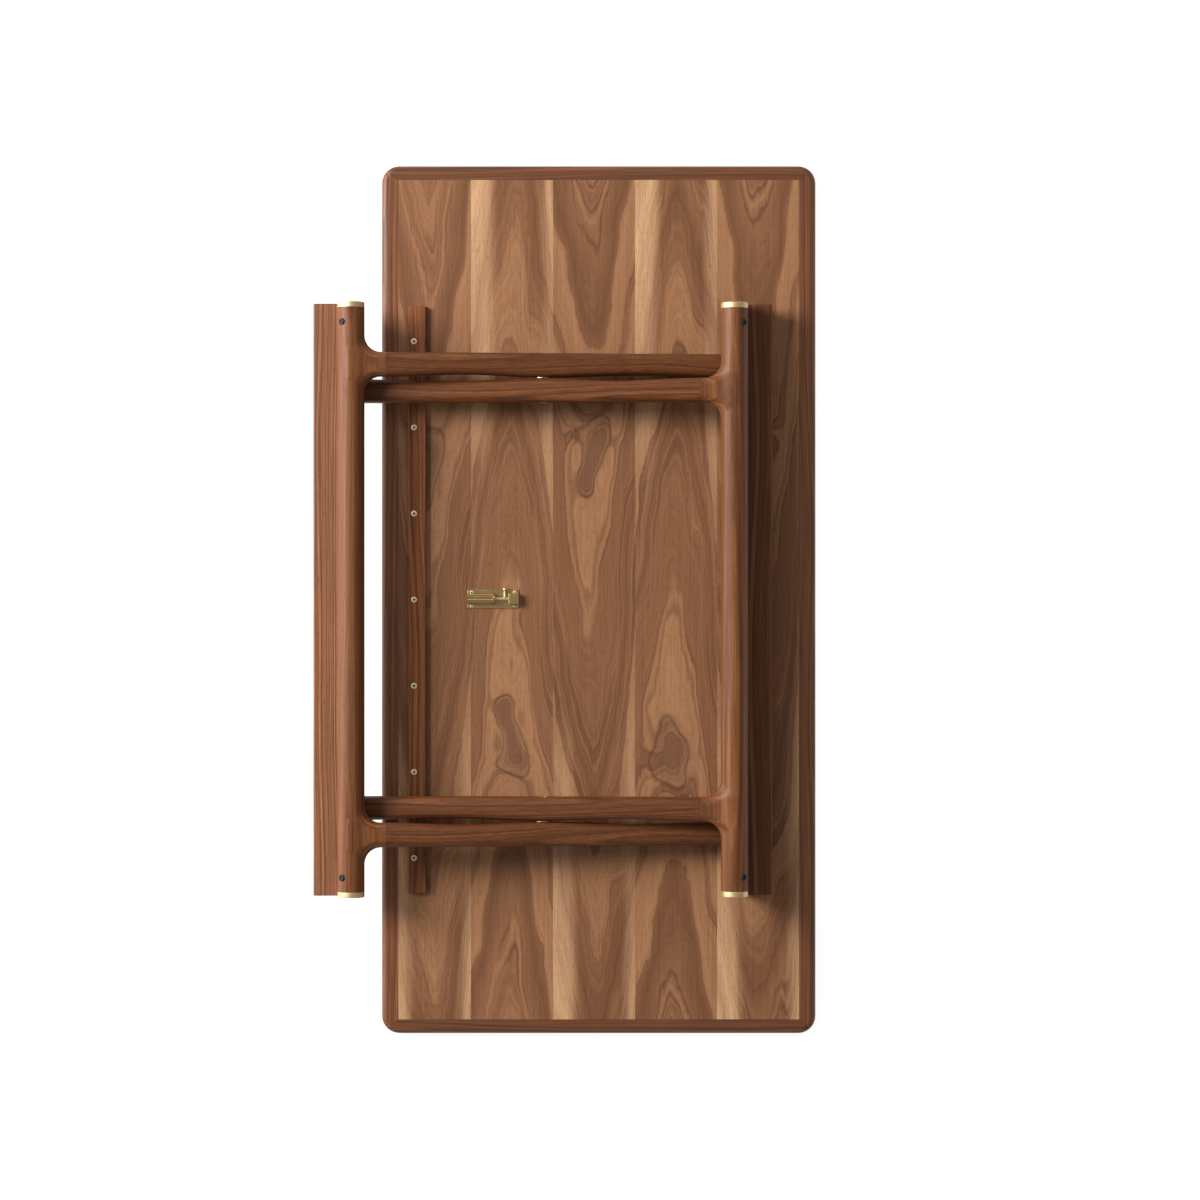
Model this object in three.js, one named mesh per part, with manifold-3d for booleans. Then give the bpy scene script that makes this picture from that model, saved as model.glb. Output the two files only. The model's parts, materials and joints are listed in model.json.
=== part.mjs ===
// Folding low table: a walnut top carried on a folding X-frame, shown folded flat with the
// top lying face down. Millimetres, +Z up. The show face of the top is z = 0 and the legs lie
// on its underside. X runs across the top, from the free rail to the hinged rail, and Y along it.
import * as THREE from 'three';
import { mergeVertices } from 'three/addons/utils/BufferGeometryUtils.js';
import Module from 'manifold-3d';

const wasm = await Module();
wasm.setup();

// ---- Driving dimensions -------------------------------------------------------------------

const TOUCH_GAP = 0.3; // between pieces that touch or turn on each other
const SPARE = 1; // how far a cutter runs past a face, or an added piece laps into another
const WELD_DISTANCE = 1e-4;
const ROUND_SIDES = 32;
const BARREL_SIDES = 24;
const BORE_SIDES = 20;
const ROD_SIDES = 16;
const SMALL_SIDES = 12;
const HEXAGON_SIDES = 6;
const DEG = Math.PI / 180;

// tabletop
const TOP_LENGTH = 1200;
const TOP_WIDTH = 600;
const TOP_THICKNESS = 22;
const TOP_CORNER_RADIUS = 24;
const CORNER_STEPS = 6;
const UNDERSIDE_ROUND = 7;
const SHOW_FACE_ROUND = 2.5;
const ROUND_STEPS = 3;
const SIDE_LIPPING = 23;
const END_LIPPING = 20;
const MITRE_GAP = 0.2;
const PAST_CORNER = 1.2; // a lipping's outline runs on past the corner by this share of its width

// folding frames, measured in a frame's own section: x outward from the toe of its rail,
// z away from the tabletop
const FRAME_LENGTH = 810;
const HINGE_X = 197;
const HINGE_HEIGHT = 2.6; // hinge axis above the underside
const FOLDED_LIFT = 1.15 * DEG; // the folded set hovers clear of the stop cleat
const RAIL_HEIGHT = 34;
const RAIL_REACH = 40.2;
const RAIL_INNER = 4.3;
const BEARING_DROP = 2.2; // bearing face below the hinge axis when the legs are open
const FOOT_X = -535.3;
const FOOT_Z = 55.4;
const FOOT_RADIUS = 18.5;
const PIVOT_X = -274;
const SEATED_TOE_X = -185.7; // where the free rail's toe stands when the legs are open

// legs
const OUTER_LEG_Y = 320.5;
const INNER_LEG_Y = 286;
const LEG_WIDTH = 33;
const LEG_THICKNESS = 32;
const LEG_WAIST = 3.4;
const WAIST_STEPS = 8;
const STUB_REACH = 48; // from the foot bar's centre to the joint with the leg
const STUB_FILLET = 23;
const FILLET_STEPS = 6;
const TENON_WIDTH = 14;
const TENON_HEIGHT = 16;
const RAIL_TENON = 13;
const STUB_TENON = 20;

// foot bar fittings
const CAP_LENGTH = 8;
const CAP_CHAMFER = 0.8;
const SPIGOT_RADIUS = 6;
const SPIGOT_LENGTH = 12;
const PAD_Y = 377.3;
const PAD_RADIUS = 4.6;
const PAD_PROUD = 1.8;
const PAD_DEPTH = 5;
const PAD_SHOULDER = 0.9;
const PAD_CROWN_RADIUS = 3.7;
const PAD_CROWN_DROP = 0.3;
const PAD_DIMPLE_RADIUS = 1.3;
const PAD_DIMPLE_DEPTH = 1;

// pivot bolts
const BOLT_RADIUS = 4;
const BOLT_HEAD_RADIUS = 7;
const BOLT_HEAD_LENGTH = 4.5;
const BOLT_SOCKET_RADIUS = 2.8;
const BOLT_SOCKET_DEPTH = 2.4;
const COUNTERBORE_DEPTH = 5;
const NUT_RADIUS = 6.5;
const NUT_LENGTH = 5;
const WASHER_RADIUS = 11;

// stop cleat
const CLEAT_OUTER_X = -262.3;
const CLEAT_INNER_X = -238.8;
const CLEAT_HEIGHT = 8;
const CLEAT_SCREW_X = -254.8;
const CLEAT_SCREW_PITCH = 118.8;
const CLEAT_SCREWS = 7;

// butt hinges
const BUTT_Y = 205;
const BUTT_LENGTH = 60;
const KNUCKLES = 3;
const KNUCKLE_RADIUS = 2.4;
const KNUCKLE_BORE = 1.35;
const PIN_RADIUS = 1;
const LEAF_THICKNESS = 1.2;
const LEAF_START = 1.8;
const LEAF_WIDTH = 22;
const LEAF_SCREW_OFFSET = 13;
const LEAF_SCREW_SPREAD = 18;

// barrel bolt
const CATCH_Y = 1;
const CATCH_LEFT_X = -181.5;
const CATCH_RIGHT_X = -110;
const CATCH_PLATE_WIDTH = 26;
const CATCH_PLATE_THICKNESS = 1.2;
const CATCH_SCREW_INSET_X = 6;
const CATCH_SCREW_SPREAD_Y = 9;
const ROD_HEIGHT = 4.8;
const ROD_RADIUS = 2.4;
const ROD_BORE = 2.8;
const ROD_LEFT_X = -180.4;
const ROD_RIGHT_X = -112;
const BARREL_RADIUS = 7;
const BARREL_RIGHT_X = -145.5;
const COLLAR_RADIUS = 7.8;
const COLLAR_RIGHT_X = -142.8;
const GUIDE_LEFT_X = -124.5;
const GUIDE_WIDTH = 15;
const GUIDE_HEIGHT = 9.5;
const GUIDE_END = 1; // closed end that the rod stops short of at rest
const LEVER_X = -129.6;
const LEVER_RADIUS = 1.7;
const LEVER_REACH = 13;
const LEVER_KNOB_RADIUS = 2.7;
const LEVER_KNOB_RINGS = 8;
const STRIKE_OUTER = 3.5;
const STRIKE_DEPTH = 11;
const STRIKE_START = -13; // outside the rail

// screws: radius of the head, radius of the shank, and length
const CLEAT_SCREW = { head: 4.15, shank: 2, length: 20 };
const LEAF_SCREW = { head: 2.4, shank: 1.2, length: 9 };
const CATCH_SCREW = { head: 2.6, shank: 1.3, length: 11 };
const SCREW_RECESS = 0.4; // share of the head

// ---- Worked out from them -----------------------------------------------------------------

const LEG_SLOPE = (FOOT_Z - RAIL_HEIGHT / 2) / (-RAIL_INNER - FOOT_X);
const PIVOT_Z = legCentre(PIVOT_X);
const PIVOT_ARM = Math.hypot(PIVOT_X, PIVOT_Z);
const FOLDED_ANGLE = Math.atan2(PIVOT_Z, -PIVOT_X);
const SPREAD = Math.acos((HINGE_X - SEATED_TOE_X) / (2 * PIVOT_ARM)) - FOLDED_ANGLE;
const STUB_X = FOOT_X + STUB_REACH;
const BAR_END = FRAME_LENGTH / 2 - CAP_LENGTH;

const walnut = new THREE.MeshStandardMaterial({ color: 0x7a5136, roughness: 0.55, metalness: 0 });
const veneer = new THREE.MeshStandardMaterial({ color: 0x6f4a33, roughness: 0.6, metalness: 0 });
const brass = new THREE.MeshStandardMaterial({ color: 0xc8a869, roughness: 0.35, metalness: 1 });
const rubber = new THREE.MeshStandardMaterial({ color: 0x1c1b1a, roughness: 0.8, metalness: 0 });

// height of a leg's centre line in its frame's own section
function legCentre(x) {
  return RAIL_HEIGHT / 2 + LEG_SLOPE * (-RAIL_INNER - x);
}

// ---- Solids -------------------------------------------------------------------------------

function solid(geometry) {
  const bare = geometry.clone();
  bare.deleteAttribute('normal');
  bare.deleteAttribute('uv');
  const welded = mergeVertices(bare, WELD_DISTANCE);
  const index = welded.index.array;
  const faces = [];
  for (let i = 0; i < index.length; i += 3) {
    const [a, b, c] = [index[i], index[i + 1], index[i + 2]];
    if (a !== b && b !== c && c !== a) {
      faces.push(a, b, c);
    }
  }
  return new wasm.Manifold(new wasm.Mesh({
    numProp: 3,
    vertProperties: welded.attributes.position.array,
    triVerts: new Uint32Array(faces),
  }));
}

function surface(body) {
  const mesh = body.getMesh();
  const geometry = new THREE.BufferGeometry();
  geometry.setAttribute('position', new THREE.BufferAttribute(mesh.vertProperties, 3));
  geometry.setIndex(new THREE.BufferAttribute(mesh.triVerts, 1));
  geometry.computeVertexNormals();
  return geometry;
}

function box([x0, x1], [y0, y1], [z0, z1]) {
  const geometry = new THREE.BoxGeometry(x1 - x0, y1 - y0, z1 - z0);
  return geometry.translate((x0 + x1) / 2, (y0 + y1) / 2, (z0 + z1) / 2);
}

// a section drawn in x and z, carried along Y
function alongY(points, [y0, y1]) {
  const shape = new THREE.Shape(points.map(([x, z]) => new THREE.Vector2(x, z)));
  const geometry = new THREE.ExtrudeGeometry(shape, { depth: y1 - y0, bevelEnabled: false });
  return geometry.rotateX(Math.PI / 2).translate(0, y1, 0);
}

function upright(shape, [z0, z1]) {
  const settings = { depth: z1 - z0, bevelEnabled: false, curveSegments: FILLET_STEPS };
  return new THREE.ExtrudeGeometry(shape, settings).translate(0, 0, z0);
}

function cylinderX(radius, [x0, x1], y, z, sides = SMALL_SIDES) {
  const geometry = new THREE.CylinderGeometry(radius, radius, x1 - x0, sides);
  return geometry.rotateZ(Math.PI / 2).translate((x0 + x1) / 2, y, z);
}

function cylinderY(radius, [y0, y1], x, z, sides = SMALL_SIDES) {
  const geometry = new THREE.CylinderGeometry(radius, radius, y1 - y0, sides);
  return geometry.translate(x, (y0 + y1) / 2, z);
}

// a profile of [radius, height] pairs turned about +Z
function turned(profile, sides = SMALL_SIDES) {
  const points = profile.map(([radius, height]) => new THREE.Vector2(radius, height));
  return new THREE.LatheGeometry(points, sides).rotateX(Math.PI / 2);
}

// a closed skin through rings that have the same number of points and are convex
function loft(rings) {
  const positions = rings.flat(2);
  const count = rings[0].length;
  const index = [];
  for (let level = 0; level + 1 < rings.length; level += 1) {
    for (let i = 0; i < count; i += 1) {
      const a = level * count + i;
      const b = level * count + ((i + 1) % count);
      index.push(a, b, b + count, a, b + count, a + count);
    }
  }
  const top = (rings.length - 1) * count;
  for (let i = 1; i + 1 < count; i += 1) {
    index.push(0, i + 1, i);
    index.push(top, top + i, top + i + 1);
  }
  const geometry = new THREE.BufferGeometry();
  geometry.setAttribute('position', new THREE.Float32BufferAttribute(positions, 3));
  geometry.setIndex(index);
  return geometry;
}

// ---- Screws -------------------------------------------------------------------------------

// countersunk screw with its head flush at z = 0 and its point down
function screwProfile({ head, shank, length }, grow = 0) {
  const neck = -(head - shank);
  return [[0, -length - grow], [shank + grow, -length - grow], [shank + grow, neck], [head + grow, 0]];
}

function screwBody(size) {
  const recess = size.head * SCREW_RECESS;
  return turned([...screwProfile(size), [recess, 0], [0, -recess]]);
}

function screwHole(size) {
  return turned([...screwProfile(size, TOUCH_GAP), [size.head + TOUCH_GAP, SPARE], [0, SPARE]]);
}

// ---- Tabletop -----------------------------------------------------------------------------

const underside = TOP_THICKNESS;
const panelX = TOP_WIDTH / 2 - SIDE_LIPPING;
const panelY = TOP_LENGTH / 2 - END_LIPPING;

function topRing(inset, z) {
  const ring = [];
  const radius = TOP_CORNER_RADIUS - inset;
  const centreX = TOP_WIDTH / 2 - TOP_CORNER_RADIUS;
  const centreY = TOP_LENGTH / 2 - TOP_CORNER_RADIUS;
  const corners = [[1, 1], [-1, 1], [-1, -1], [1, -1]];
  corners.forEach(([sideX, sideY], quarter) => {
    for (let step = 0; step <= CORNER_STEPS; step += 1) {
      const angle = (quarter + step / CORNER_STEPS) * Math.PI / 2;
      const x = sideX * centreX + radius * Math.cos(angle);
      const y = sideY * centreY + radius * Math.sin(angle);
      ring.push([x, y, z]);
    }
  });
  return ring;
}

function slab() {
  const rings = [];
  for (let step = 0; step <= ROUND_STEPS; step += 1) {
    const angle = step / ROUND_STEPS * Math.PI / 2;
    const inset = SHOW_FACE_ROUND * (1 - Math.sin(angle));
    rings.push(topRing(inset, SHOW_FACE_ROUND * (1 - Math.cos(angle))));
  }
  for (let step = 0; step <= ROUND_STEPS; step += 1) {
    const angle = step / ROUND_STEPS * Math.PI / 2;
    const rise = UNDERSIDE_ROUND * (1 - Math.sin(angle));
    rings.push(topRing(UNDERSIDE_ROUND * (1 - Math.cos(angle)), underside - rise));
  }
  return solid(loft(rings));
}

// a lipping is the part of the slab inside a trapezium whose slanted ends are the mitres
function lipping(outline) {
  const shape = new THREE.Shape(outline.map(([x, y]) => new THREE.Vector2(x, y)));
  return slab().intersect(solid(upright(shape, [-SPARE, underside + SPARE])));
}

const mitreX = panelX + SIDE_LIPPING * PAST_CORNER;
const mitreY = panelY + END_LIPPING * PAST_CORNER;

function sideLipping(side) {
  const outline = [[panelX, -panelY], [mitreX, -mitreY], [mitreX, mitreY], [panelX, panelY]];
  const turn = side > 0 ? 1 : -1;
  return lipping(outline.map(([x, y]) => [turn * x, turn * y]));
}

function endLipping(side) {
  const inner = panelX - MITRE_GAP;
  const outer = mitreX - MITRE_GAP;
  const outline = [[inner, panelY], [outer, mitreY], [-outer, mitreY], [-inner, panelY]];
  return lipping(outline.map(([x, y]) => [side * x, side * y]));
}

const cleatScrewPlaces = [];
for (let i = 0; i < CLEAT_SCREWS; i += 1) {
  const y = (i - (CLEAT_SCREWS - 1) / 2) * CLEAT_SCREW_PITCH;
  cleatScrewPlaces.push([CLEAT_SCREW_X, y, underside + CLEAT_HEIGHT]);
}

const catchScrewPlaces = [];
for (const x of [CATCH_LEFT_X + CATCH_SCREW_INSET_X, CATCH_RIGHT_X - CATCH_SCREW_INSET_X]) {
  for (const side of [-1, 1]) {
    catchScrewPlaces.push([x, CATCH_Y + side * CATCH_SCREW_SPREAD_Y, underside + CATCH_PLATE_THICKNESS]);
  }
}

const leafScrewPlaces = [];
for (const hinge of [-1, 1]) {
  for (const side of [-1, 1]) {
    const y = hinge * BUTT_Y + side * LEAF_SCREW_SPREAD;
    leafScrewPlaces.push([HINGE_X + LEAF_SCREW_OFFSET, y, underside + LEAF_THICKNESS]);
  }
}

function drilled(body, size, places) {
  let rest = body;
  for (const [x, y, z] of places) {
    rest = rest.subtract(solid(screwHole(size).translate(x, y, z)));
  }
  return rest;
}

function topPanel() {
  let panel = solid(box([-panelX, panelX], [-panelY, panelY], [0, underside]));
  panel = drilled(panel, CLEAT_SCREW, cleatScrewPlaces);
  panel = drilled(panel, CATCH_SCREW, catchScrewPlaces);
  return drilled(panel, LEAF_SCREW, leafScrewPlaces);
}

function stopCleat() {
  const length = [-FRAME_LENGTH / 2, FRAME_LENGTH / 2];
  const strip = solid(box([CLEAT_OUTER_X, CLEAT_INNER_X], length, [underside, underside + CLEAT_HEIGHT]));
  return drilled(strip, CLEAT_SCREW, cleatScrewPlaces);
}

// ---- Barrel bolt on the underside ---------------------------------------------------------

const rodZ = underside + ROD_HEIGHT;
const plateTop = underside + CATCH_PLATE_THICKNESS;

function catchPlate() {
  const halfWidth = CATCH_PLATE_WIDTH / 2;
  const sides = [CATCH_Y - halfWidth, CATCH_Y + halfWidth];
  const plate = solid(box([CATCH_LEFT_X, CATCH_RIGHT_X], sides, [underside, plateTop]));
  return drilled(plate, CATCH_SCREW, catchScrewPlaces);
}

function aboveThePlate(body) {
  const reach = [CATCH_Y - CATCH_PLATE_WIDTH, CATCH_Y + CATCH_PLATE_WIDTH];
  const length = [CATCH_LEFT_X - SPARE, CATCH_RIGHT_X + SPARE];
  const keep = box(length, reach, [plateTop, plateTop + CATCH_PLATE_WIDTH]);
  return body.intersect(solid(keep));
}

// a cylinder on the axis of the barrel bolt's rod
function onRod(radius, span, sides = BARREL_SIDES) {
  return solid(cylinderX(radius, span, CATCH_Y, rodZ, sides));
}

function catchBarrel() {
  const tube = onRod(BARREL_RADIUS, [CATCH_LEFT_X, BARREL_RIGHT_X]);
  const collar = onRod(COLLAR_RADIUS, [BARREL_RIGHT_X, COLLAR_RIGHT_X]);
  const bore = onRod(ROD_BORE, [CATCH_LEFT_X - SPARE, COLLAR_RIGHT_X + SPARE]);
  return aboveThePlate(tube.add(collar)).subtract(bore);
}

function catchRod() {
  return onRod(ROD_RADIUS, [ROD_LEFT_X, ROD_RIGHT_X], ROD_SIDES);
}

function catchGuide() {
  const sides = [CATCH_Y - GUIDE_WIDTH / 2, CATCH_Y + GUIDE_WIDTH / 2];
  const block = solid(box([GUIDE_LEFT_X, CATCH_RIGHT_X], sides, [plateTop, underside + GUIDE_HEIGHT]));
  return block.subtract(onRod(ROD_BORE, [GUIDE_LEFT_X - SPARE, CATCH_RIGHT_X - GUIDE_END]));
}

function catchLever() {
  const stem = solid(cylinderY(LEVER_RADIUS, [CATCH_Y, CATCH_Y + LEVER_REACH], LEVER_X, rodZ));
  const ball = new THREE.SphereGeometry(LEVER_KNOB_RADIUS, SMALL_SIDES, LEVER_KNOB_RINGS);
  const knob = solid(ball.translate(LEVER_X, CATCH_Y + LEVER_REACH, rodZ));
  const alongRod = [LEVER_X - LEVER_REACH, LEVER_X + LEVER_REACH];
  return stem.add(knob).subtract(onRod(ROD_RADIUS + TOUCH_GAP, alongRod, SMALL_SIDES));
}

// ---- Folding frames -----------------------------------------------------------------------
// Each frame is built with the toe of its rail on the Y axis and its legs running to -X.

// the rail's bearing face is bevelled so that it lies on the underside when the legs are open
function railSection(bevel) {
  const toe = BEARING_DROP / Math.sin(bevel);
  const edge = (RAIL_REACH - toe) * Math.tan(bevel);
  const outer = [[RAIL_REACH, edge], [RAIL_REACH, RAIL_HEIGHT]];
  return [[-RAIL_INNER, 0], [toe, 0], ...outer, [-RAIL_INNER, RAIL_HEIGHT]];
}

const railLength = [-FRAME_LENGTH / 2, FRAME_LENGTH / 2];
const hingedBevel = SPREAD + FOLDED_LIFT;
const freeBevel = SPREAD;

// a tenon, or the mortise for it when it is grown by the touching gap
function tenon([x0, x1], y, z, grow = 0) {
  const halfWidth = TENON_WIDTH / 2 + grow;
  const halfHeight = TENON_HEIGHT / 2 + grow;
  const width = [y - halfWidth, y + halfWidth];
  const height = [z - halfHeight, z + halfHeight];
  return solid(box([x0 - grow, x1 + grow], width, height));
}

const railTenon = [-RAIL_INNER - SPARE, -RAIL_INNER + RAIL_TENON];
const stubTenon = [STUB_X - STUB_TENON, STUB_X + SPARE];
const stubTenonZ = legCentre(STUB_X);

function rail(bevel, legY) {
  let body = solid(alongY(railSection(bevel), railLength));
  for (const side of [-1, 1]) {
    body = body.subtract(tenon(railTenon, side * legY, RAIL_HEIGHT / 2, TOUCH_GAP));
  }
  return body;
}

// -- hinges: leaves are drawn as they stand on the open table, closed on each other

const leafBottom = LEAF_THICKNESS + TOUCH_GAP - HINGE_HEIGHT;
const leafTop = leafBottom + LEAF_THICKNESS;

// the knuckles share the leaf's length; those not listed belong to the other leaf
function hingeLeaf(centreY, ownKnuckles, heights) {
  const start = centreY - BUTT_LENGTH / 2;
  const length = BUTT_LENGTH / KNUCKLES;
  let leaf = solid(box([LEAF_START, LEAF_WIDTH], [start, start + BUTT_LENGTH], heights));
  for (let i = 0; i < KNUCKLES; i += 1) {
    const inset = ownKnuckles.includes(i) ? TOUCH_GAP / 2 : -TOUCH_GAP / 2;
    const span = [start + i * length + inset, start + (i + 1) * length - inset];
    if (ownKnuckles.includes(i)) {
      leaf = leaf.add(solid(cylinderY(KNUCKLE_RADIUS, span, 0, 0)));
      leaf = leaf.add(solid(box([0, LEAF_START + SPARE], span, heights)));
    } else {
      leaf = leaf.subtract(solid(cylinderY(KNUCKLE_RADIUS + TOUCH_GAP, span, 0, 0)));
    }
  }
  const pinHole = [start - SPARE, start + BUTT_LENGTH + SPARE];
  return leaf.subtract(solid(cylinderY(KNUCKLE_BORE, pinHole, 0, 0)));
}

function leafScrewOffsets(centreY) {
  return [-1, 1].map((side) => [LEAF_SCREW_OFFSET, centreY + side * LEAF_SCREW_SPREAD]);
}

const tableLeafTop = LEAF_THICKNESS - HINGE_HEIGHT;

function tableLeaf(centreY) {
  const leaf = hingeLeaf(centreY, [0, 2], [-HINGE_HEIGHT, tableLeafTop]);
  const places = leafScrewOffsets(centreY).map(([x, y]) => [x, y, tableLeafTop]);
  return drilled(leaf, LEAF_SCREW, places);
}

// the rail leaf is screwed to the bearing face from below
function railScrewHole([x, y]) {
  return screwHole(LEAF_SCREW).rotateX(Math.PI).translate(x, y, leafBottom);
}

function railLeaf(centreY) {
  let leaf = hingeLeaf(centreY, [1], [leafBottom, leafTop]);
  for (const spot of leafScrewOffsets(centreY)) {
    leaf = leaf.subtract(solid(railScrewHole(spot)));
  }
  return leaf;
}

// room in the hinged rail for both leaves, the knuckles and the screws
function hingedRail() {
  let body = rail(hingedBevel, OUTER_LEG_Y);
  for (const side of [-1, 1]) {
    const centreY = side * BUTT_Y;
    const half = BUTT_LENGTH / 2 + TOUCH_GAP;
    const span = [centreY - half, centreY + half];
    const depth = [-BEARING_DROP - SPARE, leafTop + TOUCH_GAP];
    const gain = box([0, LEAF_WIDTH + TOUCH_GAP], span, depth);
    body = body.subtract(solid(gain.rotateY(-hingedBevel)));
    body = body.subtract(solid(cylinderY(KNUCKLE_RADIUS + 2 * TOUCH_GAP, span, 0, 0)));
    for (const spot of leafScrewOffsets(centreY)) {
      body = body.subtract(solid(railScrewHole(spot).rotateY(-hingedBevel)));
    }
  }
  return body;
}

// -- the brass-lined hole in the free rail that the barrel bolt shoots into

const strikeZ = ROD_HEIGHT - HINGE_HEIGHT;

function strikeTube(radius, grow = 0) {
  const reach = [STRIKE_START, STRIKE_DEPTH + grow];
  return solid(cylinderX(radius, reach, -CATCH_Y, strikeZ, BORE_SIDES).rotateY(-freeBevel));
}

function freeRail() {
  return rail(freeBevel, INNER_LEG_Y).subtract(strikeTube(STRIKE_OUTER + TOUCH_GAP, TOUCH_GAP));
}

function strikeFerrule() {
  const section = solid(alongY(railSection(freeBevel), railLength));
  return section.intersect(strikeTube(STRIKE_OUTER)).subtract(strikeTube(ROD_BORE, SPARE));
}

// -- legs

function legSide([x0, x1]) {
  const half = LEG_THICKNESS / 2;
  const upper = [x0, x1].map((x) => [x, legCentre(x) + half]);
  const lower = [x1, x0].map((x) => [x, legCentre(x) - half]);
  return [...upper, ...lower];
}

// the side that faces the other frame's leg is waisted between its ends and the pivot
function legPlan([x0, x1], y, facing) {
  const half = LEG_WIDTH / 2;
  const outline = [[x0, y - facing * half]];
  for (const [from, to] of [[x0, PIVOT_X], [PIVOT_X, x1]]) {
    for (let step = 0; step < WAIST_STEPS; step += 1) {
      const t = step / WAIST_STEPS;
      const waist = LEG_WAIST * Math.sin(Math.PI * t) ** 2;
      outline.push([from + (to - from) * t, y + facing * (half - waist)]);
    }
  }
  outline.push([x1, y + facing * half], [x1, y - facing * half]);
  return new THREE.Shape(outline.map(([x, edgeY]) => new THREE.Vector2(x, edgeY)));
}

const legHeights = [-FOOT_Z, 2 * FOOT_Z];

// a cylinder on the pivot's axis between two places along Y, given in either order
function onPivot(radius, from, to, sides = BORE_SIDES) {
  const span = [Math.min(from, to), Math.max(from, to)];
  return solid(cylinderY(radius, span, PIVOT_X, PIVOT_Z, sides));
}

// side is +1 or -1 along Y; facing is +1 where the other leg lies towards +Y
function leg(legY, side, facing) {
  const y = side * legY;
  const span = [STUB_X + TOUCH_GAP, -RAIL_INNER - TOUCH_GAP];
  const edges = [y - LEG_WIDTH / 2, y + LEG_WIDTH / 2];
  const blank = solid(alongY(legSide(span), edges));
  const nearFace = y + facing * LEG_WIDTH / 2;
  const farFace = y - facing * LEG_WIDTH / 2;
  const start = farFace - facing * SPARE;
  const headBore = Math.max(BOLT_HEAD_RADIUS, NUT_RADIUS) + TOUCH_GAP;
  return blank
    .intersect(solid(upright(legPlan(span, y, facing), legHeights)))
    .add(tenon(railTenon, y, RAIL_HEIGHT / 2))
    .add(tenon(stubTenon, y, stubTenonZ))
    .subtract(onPivot(BOLT_RADIUS + TOUCH_GAP, start, nearFace + facing * SPARE))
    .subtract(onPivot(headBore, start, farFace + facing * COUNTERBORE_DEPTH));
}

// -- foot bars, carved in one piece with the stubs that carry the legs

function stubPlan(y) {
  const half = LEG_WIDTH / 2;
  const barEdge = FOOT_X + FOOT_RADIUS;
  const shape = new THREE.Shape();
  shape.moveTo(FOOT_X, y - half - STUB_FILLET);
  shape.lineTo(barEdge, y - half - STUB_FILLET);
  shape.absarc(barEdge + STUB_FILLET, y - half - STUB_FILLET, STUB_FILLET, Math.PI, Math.PI / 2, true);
  shape.lineTo(STUB_X, y - half);
  shape.lineTo(STUB_X, y + half);
  shape.absarc(barEdge + STUB_FILLET, y + half + STUB_FILLET, STUB_FILLET, -Math.PI / 2, -Math.PI, true);
  shape.lineTo(FOOT_X, y + half + STUB_FILLET);
  return upright(shape, legHeights);
}

function padProfile(grow = 0) {
  const base = FOOT_RADIUS - PAD_DEPTH - grow;
  return [[0, base], [PAD_RADIUS + grow, base]];
}

// placed on the foot bar where it points straight at the floor when the legs are open
function ontoFoot(geometry, y) {
  return geometry.rotateY(-SPREAD).translate(FOOT_X, y, FOOT_Z);
}

function footPad(side) {
  const crown = FOOT_RADIUS + PAD_PROUD;
  const profile = [
    ...padProfile(),
    [PAD_RADIUS, crown - PAD_SHOULDER],
    [PAD_CROWN_RADIUS, crown - PAD_CROWN_DROP],
    [PAD_DIMPLE_RADIUS, crown],
    [0, crown - PAD_DIMPLE_DEPTH],
  ];
  return solid(ontoFoot(turned(profile, ROD_SIDES), side * PAD_Y));
}

function footCap(side) {
  const profile = [
    [0, -SPIGOT_LENGTH],
    [SPIGOT_RADIUS, -SPIGOT_LENGTH],
    [SPIGOT_RADIUS, TOUCH_GAP],
    [FOOT_RADIUS, TOUCH_GAP],
    [FOOT_RADIUS, CAP_LENGTH - CAP_CHAMFER],
    [FOOT_RADIUS - CAP_CHAMFER, CAP_LENGTH],
    [0, CAP_LENGTH],
  ];
  const cap = turned(profile, ROUND_SIDES).rotateX(-side * Math.PI / 2);
  return solid(cap.translate(FOOT_X, side * BAR_END, FOOT_Z));
}

const spigotBore = [
  [0, -SPIGOT_LENGTH - TOUCH_GAP],
  [SPIGOT_RADIUS + TOUCH_GAP, -SPIGOT_LENGTH - TOUCH_GAP],
  [SPIGOT_RADIUS + TOUCH_GAP, SPARE],
  [0, SPARE],
];

const padSocket = [
  ...padProfile(TOUCH_GAP),
  [PAD_RADIUS + TOUCH_GAP, FOOT_RADIUS + 2 * SPARE],
  [0, FOOT_RADIUS + 2 * SPARE],
];

function footBar(legY) {
  let bar = solid(cylinderY(FOOT_RADIUS, [-BAR_END, BAR_END], FOOT_X, FOOT_Z, ROUND_SIDES));
  for (const side of [-1, 1]) {
    const y = side * legY;
    const reach = LEG_WIDTH + STUB_FILLET;
    const blank = solid(alongY(legSide([FOOT_X, STUB_X]), [y - reach, y + reach]));
    bar = bar.add(blank.intersect(solid(stubPlan(y))));
    bar = bar.subtract(tenon(stubTenon, y, stubTenonZ, TOUCH_GAP));
    const bore = turned(spigotBore, SMALL_SIDES).rotateX(-side * Math.PI / 2);
    bar = bar.subtract(solid(bore.translate(FOOT_X, side * BAR_END, FOOT_Z)));
    bar = bar.subtract(solid(ontoFoot(turned(padSocket, ROD_SIDES), side * PAD_Y)));
  }
  return bar;
}

// -- pivots: a bolt sunk in the outer leg, a washer between the legs, a nut sunk in the inner leg

const outerFace = OUTER_LEG_Y + LEG_WIDTH / 2;
const innerFace = INNER_LEG_Y - LEG_WIDTH / 2;

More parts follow.
